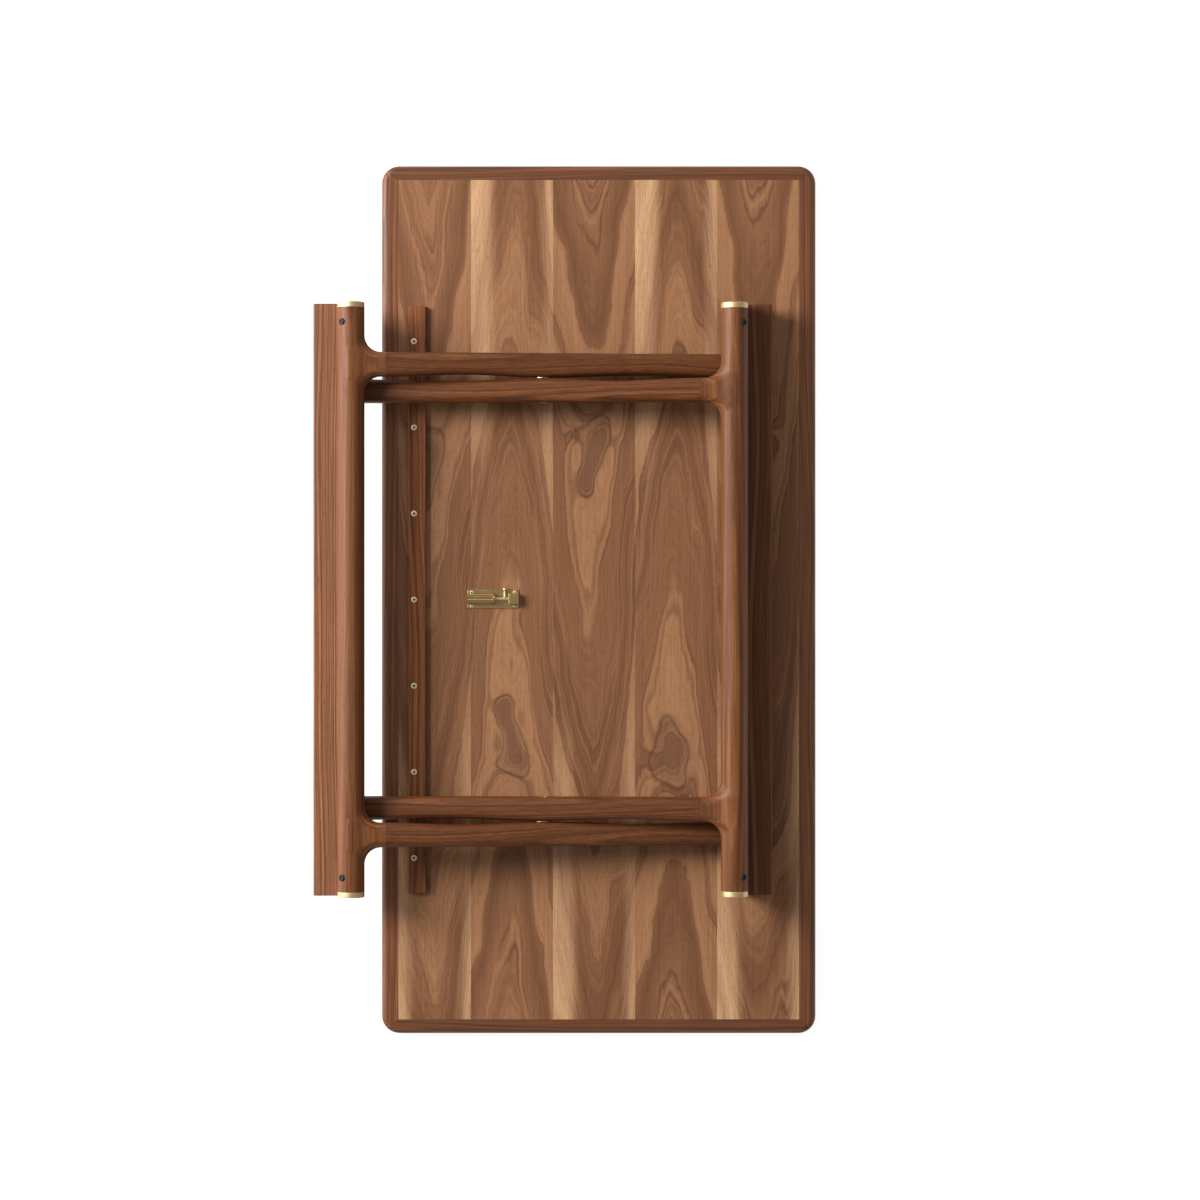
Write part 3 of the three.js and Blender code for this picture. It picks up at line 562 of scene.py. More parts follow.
def brass(name, base, roughness, along="Y", face=None):
    """Brushed brass, with fine lines along one axis and a faint uneven tarnish. Below a screw's
    face, at this height in millimetres, its recess is painted dark as shade and loses its metal shine."""
    n = Nodes(name, "brass")
    brushing = n.noise(n.stretched(along, *BRUSHING), detail=2)
    tarnish = n.step(n.noise(n.stretched(along, *TARNISH), detail=3), *TARNISH_EDGE)
    clean = colour(*base)
    darker = tuple(TARNISH_DARKENING * part for part in clean[:3]) + (1,)
    shade = n.mix(n.math("MULTIPLY", tarnish, TARNISH_SHARE), clean, darker)
    rough = n.math("MULTIPLY_ADD", n.math("ADD", brushing, tarnish), 0.12, roughness)
    metallic = 1.0
    if face:
        # Painted shade: below the screw's face its recess turns dark and stops being metal.
        recess_shade = n.step(n.axis("Z"), *[(face - depth) * MM for depth in RECESS_SHADE_DEPTH])
        shade = n.mix(recess_shade, shade, colour(*RECESS_SHADE))
        metallic = n.math("SUBTRACT", 1.0, recess_shade)
    return n.finish(
        base_color=shade,
        metallic=metallic,
        roughness=rough,
        normal=n.bump(brushing, *BRASS_BUMP),
    )


def rubber(name):
    """Moulded black rubber with a fine matt texture."""
    n = Nodes(name, "pad_rubber")
    grain = n.noise(n.stretched("Y", *RUBBER_GRAIN), detail=2)
    return n.finish(
        base_color=n.ramp(grain, RUBBER_RAMP),
        roughness=0.6,
        specular_ior_level=0.3,
        normal=n.bump(grain, *RUBBER_BUMP),
    )


def floor_finish():
    """A pale matt floor with a glow of its own, so that it stays white."""
    n = Nodes("pale_floor", "floor")
    grain = n.noise(n.stretched("Y", *FLOOR_GRAIN), detail=2)
    return n.finish(
        base_color=n.ramp(grain, FLOOR_RAMP),
        roughness=0.9,
        emission_color=(1, 1, 1, 1),
        emission_strength=FLOOR_GLOW,
    )


# ---- Mesh tools --------------------------------------------------


def loft(rings):
    """A closed mesh through rings that have the same number of points."""
    mesh = bmesh.new()
    levels = [[mesh.verts.new(point) for point in ring] for ring in rings]
    for low, high in zip(levels, levels[1:]):
        for i in range(len(low)):
            after = (i + 1) % len(low)
            mesh.faces.new((low[i], low[after], high[after], high[i]))
    mesh.faces.new(reversed(levels[0]))
    mesh.faces.new(levels[-1])
    bmesh.ops.recalc_face_normals(mesh, faces=mesh.faces)
    return mesh


def circle(radius, height, sides):
    angles = [2 * math.pi * i / sides for i in range(sides)]
    return [(radius * math.cos(a), radius * math.sin(a), height) for a in angles]


def turned(profile, sides=SIDES):
    """A profile of (radius, height) pairs turned about +Z."""
    return loft([circle(radius, height, sides) for radius, height in profile])


def cylinder(radius, start, end, edge=0.0, sides=SIDES):
    """Along Z, with its two rims eased by edge."""
    profile = [(radius, start + edge), (radius, end - edge)]
    if edge:
        profile = [(radius - edge, start), *profile, (radius - edge, end)]
    return turned(profile, sides)


def block(x, y, z, edge=0.0, segments=3):
    """A box between (low, high) pairs, with rounded edges."""
    mesh = bmesh.new()
    bmesh.ops.create_cube(mesh, size=1)
    size = Matrix.Diagonal([high - low for low, high in (x, y, z)] + [1])
    centre = Matrix.Translation([(low + high) / 2 for low, high in (x, y, z)])
    mesh.transform(centre @ size)
    if edge:
        bmesh.ops.bevel(
            mesh, geom=mesh.edges[:], offset=edge, segments=segments, profile=0.5, affect="EDGES"
        )
    return mesh


def moved(mesh, *steps):
    """Applies matrices, or offsets, in the order given."""
    for step in steps:
        mesh.transform(step if isinstance(step, Matrix) else Matrix.Translation(step))
    return mesh


def new_object(name, mesh):
    """Uses the mesh up and puts it in the scene."""
    data = bpy.data.meshes.new(name)
    mesh.to_mesh(data)
    mesh.free()
    made = bpy.data.objects.new(name, data)
    bpy.context.scene.collection.objects.link(made)
    return made


def shaped_by(mesh, kind, **settings):
    """The mesh after one modifier."""
    holder = new_object("holder", mesh)
    modifier = holder.modifiers.new("step", kind)
    for key, value in settings.items():
        setattr(modifier, key, value)
    result = bmesh.new()
    result.from_object(holder, bpy.context.evaluated_depsgraph_get())
    bpy.data.objects.remove(holder)
    return result


def combined(mesh, tool, operation):
    tool_object = new_object("tool", tool)
    result = shaped_by(mesh, "BOOLEAN", operation=operation, solver="EXACT", object=tool_object)
    bpy.data.objects.remove(tool_object)
    return result


def cut(mesh, *tools):
    for tool in tools:
        mesh = combined(mesh, tool, "DIFFERENCE")
    return mesh


def joined(mesh, *parts):
    for part in parts:
        mesh = combined(mesh, part, "UNION")
    return mesh


def trimmed(mesh, point, outward):
    """Cuts off what lies beyond a plane and closes the cut."""
    geometry = mesh.verts[:] + mesh.edges[:] + mesh.faces[:]
    bmesh.ops.bisect_plane(mesh, geom=geometry, plane_co=point, plane_no=outward, clear_outer=True)
    bmesh.ops.holes_fill(mesh, edges=mesh.edges[:], sides=0)
    return mesh


def make(node, mesh, place, material):
    """Turns a mesh into the piece that stands for one CAD node."""
    mesh.transform(Matrix.Scale(MM, 4) @ place)
    for face in mesh.faces:
        face.smooth = True
    made = new_object(node + "_fine", mesh)
    made.data.set_sharp_from_angle(angle=SHARP_ANGLE)
    made.data.materials.append(material)
    shading = made.modifiers.new("even_shading", "WEIGHTED_NORMAL")
    shading.keep_sharp = True
    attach(made, frame["nodes"][node]["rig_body"])
    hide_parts(node)


# ---- Screws ------------------------------------------------------


def screw(head, length):
    """A countersunk screw with a crossed recess. Its head is flush at z = 0."""
    shank = head / 2
    crown = head * SCREW_CROWN
    profile = [
        (shank * 0.3, -length),
        (shank, -length + 2 * shank),
        (shank, -(head - shank)),
        (head, -crown),
        (head - crown / 2, 0),
        (head * 0.55, crown / 2),
        (head * 0.1, crown * 0.6),
    ]
    body = turned(profile, SCREW_SIDES)
    arm = head * RECESS_ARM
    half = head * RECESS_HALF_WIDTH
    depth = head * RECESS_DEPTH
    for turn in (RECESS_TURN, RECESS_TURN + math.pi / 2):
        slot = block((-arm, arm), (-half, half), (-depth, head))
        body = cut(body, moved(slot, Matrix.Rotation(turn, 4, "Z")))
    return cut(body, cylinder(head * RECESS_CENTRE, -depth, head, sides=RECESS_SIDES))


def screw_hole(head, length):
    """The countersink for a screw, with a hairline of room round the head."""
    wide = head + COUNTERSINK_ROOM
    narrow = head / 2 + COUNTERSINK_ROOM
    profile = [(narrow, -length), (narrow, -head / 2), (wide, 0), (wide, 2 * SPARE)]
    return turned(profile, SCREW_SIDES)


def place_screws(size, places, transform, material):
    for node, spot in places.items():
        make(node, moved(screw(**size), spot), transform, material)


# ---- Tabletop ----------------------------------------------------

PANEL_X = TOP_WIDTH / 2 - SIDE_LIPPING
PANEL_Y = TOP_LENGTH / 2 - END_LIPPING


def top_ring(inset, height, steps=12):
    """The outline of the top, pulled in by inset."""
    ring = []
    radius = TOP_CORNER_RADIUS - inset
    centre_x = TOP_WIDTH / 2 - TOP_CORNER_RADIUS
    centre_y = TOP_LENGTH / 2 - TOP_CORNER_RADIUS
    for quarter, (side_x, side_y) in enumerate([(1, 1), (-1, 1), (-1, -1), (1, -1)]):
        for i in range(steps + 1):
            angle = (quarter + i / steps) * math.pi / 2
            x = side_x * centre_x + radius * math.cos(angle)
            y = side_y * centre_y + radius * math.sin(angle)
            ring.append((x, y, height))
    return ring


def slab(steps=6):
    """The whole top, with its show face at z = 0."""
    rings = []
    quarter = [i / steps * math.pi / 2 for i in range(steps + 1)]
    for angle in quarter:
        inset = SHOW_FACE_ROUND * (1 - math.sin(angle))
        rings.append(top_ring(inset, SHOW_FACE_ROUND * (1 - math.cos(angle))))
    for angle in quarter:
        inset = UNDERSIDE_ROUND * (1 - math.cos(angle))
        rings.append(top_ring(inset, UNDERSIDE - UNDERSIDE_ROUND * (1 - math.sin(angle))))
    return loft(rings)


def lipping(along_x, side):
    """The slab outside the panel on one edge, between its two mitres."""
    mitre = Vector((SIDE_LIPPING, END_LIPPING, 0)).normalized()
    mesh = slab()
    for end in (-1, 1):
        if along_x:
            corner = Vector((end * PANEL_X, side * PANEL_Y, 0))
            outward = Vector((end * mitre.y, -side * mitre.x, 0))
        else:
            corner = Vector((side * PANEL_X, end * PANEL_Y, 0))
            outward = Vector((-side * mitre.y, end * mitre.x, 0))
        mesh = trimmed(mesh, corner - outward * MITRE_GAP, outward)
    inner = Vector((0, -side, 0)) if along_x else Vector((-side, 0, 0))
    edge = Vector((0, side * PANEL_Y, 0)) if along_x else Vector((side * PANEL_X, 0, 0))
    mesh = trimmed(mesh, edge, inner)
    return eased(mesh, MITRE_EDGE)


def eased(mesh, width, segments=1, angle=math.radians(40)):
    """Breaks every edge sharper than an angle."""
    edges = [e for e in mesh.edges if e.is_manifold and e.calc_face_angle() > angle]
    bmesh.ops.bevel(mesh, geom=edges, offset=width, segments=segments, profile=0.5, affect="EDGES")
    return mesh


def cleat_screw_places():
    places = {}
    for i in range(CLEAT_SCREWS):
        y = (i - (CLEAT_SCREWS - 1) / 2) * CLEAT_SCREW_PITCH
        places[f"cleat_screw_{i + 1}"] = (CLEAT_SCREW_X, y, UNDERSIDE + CLEAT_HEIGHT)
    return places


def make_tabletop():
    veneer = walnut_veneer()
    frame["nodes"]["top_panel"].data.materials.clear()
    frame["nodes"]["top_panel"].data.materials.append(veneer)
    for i, side in enumerate((-1, 1)):
        side_grain = {"along": "Y", "pith": (side * 0.2, -0.05), "shift": i * 5.3}
        side_wood = walnut(f"walnut_side_lipping_{i + 1}", tone=0.9, shine=0.4, warmth=1.08, **side_grain)
        make(f"side_lipping_{i + 1}", lipping(False, side), TABLE, side_wood)
        end_grain = {"along": "X", "pith": (side * 0.5, -0.03), "shift": 9 + i}
        end_wood = walnut(f"walnut_end_lipping_{i + 1}", tone=0.84, shine=0.4, warmth=1.14, **end_grain)
        make(f"end_lipping_{i + 1}", lipping(True, side), TABLE, end_wood)

    half = FRAME_LENGTH / 2
    cleat = block(CLEAT_X, (-half, half), (UNDERSIDE, UNDERSIDE + CLEAT_HEIGHT), edge=CLEAT_EDGE)
    for spot in cleat_screw_places().values():
        cleat = cut(cleat, moved(screw_hole(**CLEAT_SCREW), spot))
    cleat_wood = walnut("walnut_cleat", "Y", pith=(-0.2, 0.08), shift=2.7, tone=1.06)
    make("stop_cleat", cleat, TABLE, cleat_wood)
    place_screws(CLEAT_SCREW, cleat_screw_places(), TABLE, cleat_screw_brass)


# ---- Barrel bolt -------------------------------------------------

ROD_Z = UNDERSIDE + ROD_HEIGHT
PLATE_TOP = UNDERSIDE + CATCH_PLATE_THICKNESS


def on_rod(mesh):
    """Lays a mesh drawn along Z on the rod's axis."""
    return moved(mesh, TO_X, (0, CATCH_Y, ROD_Z))


def catch_screw_places():
    places = {}
    for x in (CATCH_X[0] + CATCH_SCREW_INSET, CATCH_X[1] - CATCH_SCREW_INSET):
        for side in (-1, 1):
            name = f"catch_screw_{len(places) + 1}"
            places[name] = (x, CATCH_Y + side * CATCH_SCREW_SPREAD, PLATE_TOP)
    return places


def catch_plate():
    half = CATCH_PLATE_WIDTH / 2
    sides = (CATCH_Y - half, CATCH_Y + half)
    plate = block(CATCH_X, sides, (UNDERSIDE, PLATE_TOP), edge=CATCH_PLATE_EDGE)
    for spot in catch_screw_places().values():
        plate = cut(plate, moved(screw_hole(**CATCH_SCREW), spot))
    return plate


def barrel_ring(radius, x, flute_depth):
    """A rounded cover over the rod that stands on the plate, with flutes along it."""
    foot = math.asin((ROD_HEIGHT - CATCH_PLATE_THICKNESS) / radius)
    steps = FLUTE_STEPS * BARREL_FLUTES
    ring = []
    for i in range(steps + 1):
        share = i / steps
        angle = -foot + share * (math.pi + 2 * foot)
        reach = radius - flute_depth * abs(math.sin(math.pi * BARREL_FLUTES * share))
        ring.append((x, CATCH_Y + reach * math.cos(angle), ROD_Z + reach * math.sin(angle)))
    return ring


def catch_barrel():
    edge = BARREL_EDGE
    left, right = CATCH_X[0], BARREL_END_X
    tube_sizes = [(BARREL_RADIUS - edge, left), (BARREL_RADIUS, left + edge), (BARREL_RADIUS, right)]
    tube = loft([barrel_ring(radius, x, FLUTE_DEPTH) for radius, x in tube_sizes])
    collar_sizes = [
        (COLLAR_RADIUS - edge, right - edge / 2),
        (COLLAR_RADIUS, right + edge / 2),
        (COLLAR_RADIUS, COLLAR_END_X - edge),
        (COLLAR_RADIUS - edge, COLLAR_END_X),
    ]
    collar = loft([barrel_ring(radius, x, 0) for radius, x in collar_sizes])
    bore = on_rod(cylinder(ROD_BORE, left - SPARE, COLLAR_END_X + SPARE))
    return cut(joined(tube, collar), bore)


def catch_guide():
    half = GUIDE_WIDTH / 2
    sides = (CATCH_Y - half, CATCH_Y + half)
    guide = block((GUIDE_X, CATCH_X[1]), sides, (PLATE_TOP, UNDERSIDE + GUIDE_HEIGHT), edge=GUIDE_EDGE)
    return cut(guide, on_rod(cylinder(ROD_BORE, GUIDE_X - SPARE, CATCH_X[1] - GUIDE_WALL)))


def catch_lever():
    """A turned stem with a ball end, screwed into a sleeve on the rod."""
    knob = LEVER_KNOB_RADIUS
    profile = [(LEVER_RADIUS, ROD_RADIUS), (LEVER_RADIUS, LEVER_REACH - knob)]
    for i in range(2, LEVER_KNOB_RINGS):
        angle = math.pi * i / LEVER_KNOB_RINGS
        profile.append((knob * math.sin(angle), LEVER_REACH - knob * math.cos(angle)))
    stem = moved(turned(profile, SCREW_SIDES), TO_Y, (LEVER_X, CATCH_Y, ROD_Z))
    span = (LEVER_X - LEVER_RADIUS, LEVER_X + LEVER_RADIUS)
    return joined(stem, on_rod(cylinder(SLEEVE_RADIUS, *span, edge=SLEEVE_EDGE)))


def make_catch():
    make("catch_plate", catch_plate(), TABLE, aged_brass)
    make("catch_barrel", catch_barrel(), TABLE, aged_brass)
    make("catch_guide", catch_guide(), TABLE, aged_brass)
    make("catch_rod", on_rod(cylinder(ROD_RADIUS, *ROD_X, edge=ROD_EDGE)), TABLE, bright_brass)
    make("catch_lever", catch_lever(), TABLE, bright_brass)
    place_screws(CATCH_SCREW, catch_screw_places(), TABLE, catch_screw_brass)


# ---- Rails -------------------------------------------------------


def pulled_in(points, distance):
    """A convex outline, given anticlockwise, with every side moved inward."""
    result = []
    for i, point in enumerate(points):
        before, after = points[i - 1], points[(i + 1) % len(points)]
        arriving = (Vector(point) - Vector(before)).normalized()
        leaving = (Vector(after) - Vector(point)).normalized()
        normal_a = Vector((-arriving.y, arriving.x))
        normal_b = Vector((-leaving.y, leaving.x))
        corner = (normal_a + normal_b) / (1 + normal_a.dot(normal_b))
        result.append(tuple(Vector(point) + corner * distance))
    return result


def rounded(points, radii, steps=6):
    """A convex outline, given anticlockwise, with each corner rounded by its own radius."""
    result = []
    for i, point in enumerate(points):
        corner = Vector(point)
        to_before = (Vector(points[i - 1]) - corner).normalized()
        to_after = (Vector(points[(i + 1) % len(points)]) - corner).normalized()
        half_angle = to_before.angle(to_after) / 2
        reach = radii[i] / math.tan(half_angle)
        centre = corner + (to_before + to_after).normalized() * radii[i] / math.sin(half_angle)
        start = corner + to_before * reach - centre
        end = corner + to_after * reach - centre
        sweep = start.angle_signed(end)
        for step in range(steps + 1):
            turn = -sweep * step / steps
            x = start.x * math.cos(turn) - start.y * math.sin(turn)
            y = start.x * math.sin(turn) + start.y * math.cos(turn)
            result.append((centre.x + x, centre.y + y))
    return result


def rail_section(bevel):
    """Outline of a rail whose underside rises at the bevel from its toe outward."""
    toe = BEARING_DROP / math.sin(bevel)
    edge = (RAIL_REACH - toe) * math.tan(bevel)
    return [
        (-RAIL_INNER, 0),
        (toe, 0),
        (RAIL_REACH, edge),
        (RAIL_REACH, RAIL_HEIGHT),
        (-RAIL_INNER, RAIL_HEIGHT),
    ]


def rail(bevel):
    section = rail_section(bevel)
    half = FRAME_LENGTH / 2
    ease = RAIL_END_EDGE
    smallest = 0.2
    rings = []
    for y, inset in ((-half, ease), (-half + ease, 0), (half - ease, 0), (half, ease)):
        radii = [max(radius - inset, smallest) for radius in RAIL_CORNER_RADII]
        outline = rounded(pulled_in(section, inset), radii)
        rings.append([(x, y, z) for x, z in outline])
    return loft(rings)


def leaf_screw_spots(side):
    return [(LEAF_SCREW_X, side * BUTT_Y + way * LEAF_SCREW_SPREAD) for way in (-1, 1)]


def hinged_rail():
    """The rail with the gains that the two butt hinges are let into."""
    mesh = rail(HINGED_BEVEL)
    for side in (-1, 1):
        half = BUTT_LENGTH / 2 + GAP
        span = (side * BUTT_Y - half, side * BUTT_Y + half)
        top = LEAF_BOTTOM + LEAF_THICKNESS + GAP
        gain = block((0, LEAF_X[1] + GAP), span, (-BEARING_DROP - SPARE, top))
        barrel = moved(cylinder(KNUCKLE_RADIUS + 2 * GAP, *span), TO_Y)
        mesh = cut(mesh, moved(gain, ON_HINGED_RAIL), barrel)
    return mesh


def strike_tube(radius, depth=STRIKE_DEPTH):
    """A cylinder where the shot rod enters the free rail on the open table."""
    tube = cylinder(radius, -3 * RAIL_INNER, depth)
    place = Matrix.Translation((0, -CATCH_Y, ROD_HEIGHT - HINGE_HEIGHT))
    return moved(tube, TO_X, place, Matrix.Rotation(-FREE_BEVEL, 4, "Y"))


def free_rail():
    return cut(rail(FREE_BEVEL), strike_tube(STRIKE_RADIUS + GAP / 2))


def strike_ferrule():
    lining = combined(rail(FREE_BEVEL), strike_tube(STRIKE_RADIUS), "INTERSECT")
    return cut(lining, strike_tube(ROD_BORE, STRIKE_DEPTH + 2 * SPARE))


# ---- Legs and foot bars ------------------------------------------


def leg_side_waist(x):
    """How far the side that faces the other leg is hollowed at x."""
    start, end = STUB_X, -RAIL_INNER
    low, high = (start, PIVOT_X) if x < PIVOT_X else (PIVOT_X, end)
    return LEG_WAIST * math.sin(math.pi * (x - low) / (high - low)) ** 2


def leg_ring(x, y, facing, inset):
    """A leg's rounded section at x. Its waisted side faces the other frame's leg."""
    half_width = LEG_WIDTH / 2 - inset
    half_height = LEG_THICKNESS / 2 - inset
    waist = leg_side_waist(x)
    facing_y = facing * (half_width - waist)
    far_y = -facing * half_width
    low_y, high_y = sorted((facing_y, far_y))
    low_z, high_z = -half_height, half_height
    corners = [(low_y, low_z), (high_y, low_z), (high_y, high_z), (low_y, high_z)]
    outline = rounded(corners, [LEG_EDGE - inset] * len(corners), steps=8)
    return [(x, y + across, leg_centre(x) + up) for across, up in outline]


def leg(leg_y, side, facing):
    y = side * leg_y
    ease = LEG_END_EDGE
    start, end = STUB_X + LEG_JOINT_GAP, -RAIL_INNER - LEG_JOINT_GAP
    stations = [(start, ease), (start + ease, 0)]
    stations += [(start + (end - start) * i / LEG_BAYS, 0) for i in range(1, LEG_BAYS)]
    stations += [(end - ease, 0), (end, ease)]
    mesh = loft([leg_ring(x, y, facing, inset) for x, inset in stations])
    far_face = y - facing * LEG_WIDTH / 2
    shank = cylinder(BOLT_RADIUS + GAP, y - LEG_WIDTH, y + LEG_WIDTH)
    well_ends = sorted((far_face - facing * 2 * SPARE, far_face + facing * COUNTERBORE_DEPTH))
    well = cylinder(BOLT_HEAD_RADIUS + GAP, *well_ends)
    return cut(mesh, moved(shank, TO_Y, AT_PIVOT), moved(well, TO_Y, AT_PIVOT))


def bar_and_stub_distance(points, leg_y):
    """Signed distance to the round bar, blended with a fillet into both stubs."""
    x, y, z = points.T
    bar = np.hypot(x - FOOT_X, z - FOOT_Z) - FOOT_RADIUS
    across = np.abs(np.abs(y) - leg_y) - LEG_WIDTH / 2
    corner = np.hypot((STUB_FILLET - bar).clip(min=0), (STUB_FILLET - across).clip(min=0))
    walls = np.maximum(STUB_FILLET, np.minimum(bar, across)) - corner
    faces = np.abs(z - leg_centre(x)) * math.cos(math.atan(LEG_SLOPE)) - LEG_THICKNESS / 2
    edge = np.hypot((LEG_EDGE + walls).clip(min=0), (LEG_EDGE + faces).clip(min=0))
    stub = np.minimum(-LEG_EDGE, np.maximum(walls, faces)) + edge
    stub = np.maximum(stub, FOOT_X - x)
    near = (1 - across / STUB_FILLET).clip(0, 1)
    softness = 0.01 + STUB_SOFTNESS * near * near * (3 - 2 * near)
    overlap = (softness - np.abs(bar - stub)).clip(min=0)
    return np.minimum(bar, stub) - overlap**2 / (4 * softness)


def settled(points, leg_y, rounds=8):
    """Moves points along the gradient onto the blended surface."""
    nudge = 0.05
    least_slope = 0.2
    for _ in range(rounds):
        value = bar_and_stub_distance(points, leg_y)
        slopes = []
        for i in range(3):
            offset = np.zeros(3)
            offset[i] = nudge
            ahead = bar_and_stub_distance(points + offset, leg_y)
            behind = bar_and_stub_distance(points - offset, leg_y)
            slopes.append((ahead - behind) / (2 * nudge))
        gradient = np.stack(slopes, axis=1)
        length = np.sum(gradient**2, axis=1).clip(min=least_slope)
        points = points - gradient * (value / length)[:, None]
    return points


def foot_bar(leg_y):
    """A round bar carved in one with its two stubs. A rough shape is remeshed to an even grid,
    its points settle on the blended surface, and its ends are trimmed."""
    allowance = 6
    fillet_half = 12
    reach = BAR_END + allowance
    rough = moved(cylinder(FOOT_RADIUS, -reach, reach), TO_Y, (FOOT_X, 0, FOOT_Z))
    for side in (-1, 1):
        half = LEG_WIDTH / 2
        span = (side * leg_y - half, side * leg_y + half)
        mid = (leg_centre(FOOT_X) + leg_centre(STUB_X)) / 2
        stub = block((FOOT_X, STUB_X + allowance), span, (mid - half, mid + half))
        swell = half + STUB_FILLET / 3
        near = FOOT_X + FOOT_RADIUS + STUB_FILLET / 3
        wide_span = (side * leg_y - swell, side * leg_y + swell)
        fillet = block((FOOT_X, near), wide_span, (mid - fillet_half, mid + fillet_half))
        rough = joined(rough, stub, fillet)
    mesh = shaped_by(rough, "REMESH", mode="VOXEL", voxel_size=BAR_GRID)
    points = np.array([vertex.co for vertex in mesh.verts])
    for vertex, place in zip(mesh.verts, settled(points, leg_y)):
        vertex.co = place
    mesh = trimmed(mesh, (STUB_X, 0, 0), (1, 0, 0))
    for side in (-1, 1):
        mesh = trimmed(mesh, (0, side * BAR_END, 0), (0, side, 0))
        top = FOOT_RADIUS + 4 * SPARE
        socket = cylinder(PAD_RADIUS + PAD_SOCKET_ROOM, FOOT_RADIUS - PAD_DEPTH, top)
        mesh = cut(mesh, moved(socket, *onto_foot(side)))
    return mesh


def onto_foot(side):
    """Where a pad points straight at the floor once the legs are open."""
    return Matrix.Rotation(-SPREAD, 4, "Y"), (FOOT_X, side * PAD_Y, FOOT_Z)


def foot_pad(side):
    crown = FOOT_RADIUS + PAD_PROUD
    profile = [(PAD_RADIUS, FOOT_RADIUS - PAD_DEPTH + PAD_FLOOR_GAP)]
    profile += [(radius, crown - below) for radius, below in PAD_CROWN]
    return moved(turned(profile), *onto_foot(side))


def facing_out(side):
    """Turns a mesh drawn along +Z so that its height runs outward along Y."""
    return Matrix.Rotation(-side * math.pi / 2, 4, "X")


def foot_cap(side):
    profile = [(FOOT_RADIUS - CAP_FOOT_EDGE, GAP / 2), (FOOT_RADIUS, 2 * GAP)]
    profile += [(FOOT_RADIUS - inset, CAP_LENGTH - short) for inset, short in CAP_RIM]
    cap = turned(profile, FINE_SIDES)
    return moved(cap, facing_out(side), (FOOT_X, side * BAR_END, FOOT_Z))


def leg_rise(place):
    """Slope of the legs, once placed, in the row frame."""
    run = place.to_3x3() @ Vector((1, 0, -LEG_SLOPE))
    return run.z / run.x


def make_frame(prefix, place, leg_y, facing, board, bar_tone):
    """One leg frame without its rail. Its grain follows each piece's own length, and the board
    number tells its wood from the other frame's."""
    bar_x = (place @ Vector((FOOT_X, 0, FOOT_Z))).x * MM
    grain = {"along": "Y", "pith": (bar_x + 0.02, -0.02), "shift": board * 3.1}
    bar = walnut(f"walnut_{prefix}_foot_bar", tone=bar_tone, **grain)
    make(f"{prefix}_foot_bar", foot_bar(leg_y), place, bar)
    for i, side in enumerate((-1, 1)):
        world_y = (place @ Vector((0, side * leg_y, 0))).y * MM
        pith = (world_y + side * 0.05, 0.16)
        wood = walnut(
            f"walnut_{prefix}_leg_{i + 1}",
            "X",
            pith=pith,
            shift=board * 4.7 + i * 2.3,
            tone=0.83,
            rise=leg_rise(place),
            warmth=1.12,
        )
        make(f"{prefix}_leg_{i + 1}", leg(leg_y, side, side * facing), place, wood)
        make(f"{prefix}_foot_cap_{i + 1}", foot_cap(side), place, cap_brass)
        make(f"{prefix}_foot_pad_{i + 1}", foot_pad(side), place, pad_rubber)


# ---- Pivots and hinges -------------------------------------------

OUTER_FACE = OUTER_LEG_Y + LEG_WIDTH / 2
INNER_FACE = INNER_LEG_Y - LEG_WIDTH / 2


def on_pivot(mesh, side):
    return moved(mesh, facing_out(side), AT_PIVOT)


def pivot_bolt():
    top = OUTER_FACE - COUNTERBORE_DEPTH + GAP + BOLT_HEAD_LENGTH
    base = top - BOLT_HEAD_LENGTH
    profile = [
        (BOLT_RADIUS - BOLT_TIP_EDGE, INNER_FACE + GAP),
        (BOLT_RADIUS, INNER_FACE + GAP + BOLT_TIP_EDGE),
        (BOLT_RADIUS, base),
        (BOLT_HEAD_RADIUS, base),
        (BOLT_HEAD_RADIUS, top - BOLT_HEAD_EDGE),
        (BOLT_HEAD_RADIUS - BOLT_HEAD_EDGE, top),
    ]
    socket = cylinder(BOLT_SOCKET_RADIUS, top - BOLT_SOCKET_DEPTH, top + SPARE, sides=HEXAGON_SIDES)
    return cut(turned(profile), socket)


def pivot_washer():
    low = INNER_LEG_Y + LEG_WIDTH / 2 + GAP
    high = OUTER_LEG_Y - LEG_WIDTH / 2 - GAP
    disc = cylinder(WASHER_RADIUS, low, high, edge=WASHER_EDGE, sides=FINE_SIDES)
    return cut(disc, cylinder(BOLT_RADIUS + GAP, low - SPARE, high + SPARE))


def pivot_nut():
    top = INNER_FACE + COUNTERBORE_DEPTH - GAP
    low = top - COUNTERBORE_DEPTH + GAP
    hexagon = eased(cylinder(NUT_RADIUS, low, top, sides=HEXAGON_SIDES), NUT_EDGE, segments=2)
    return cut(hexagon, cylinder(BOLT_RADIUS + GAP / 2, low - SPARE, top + SPARE))


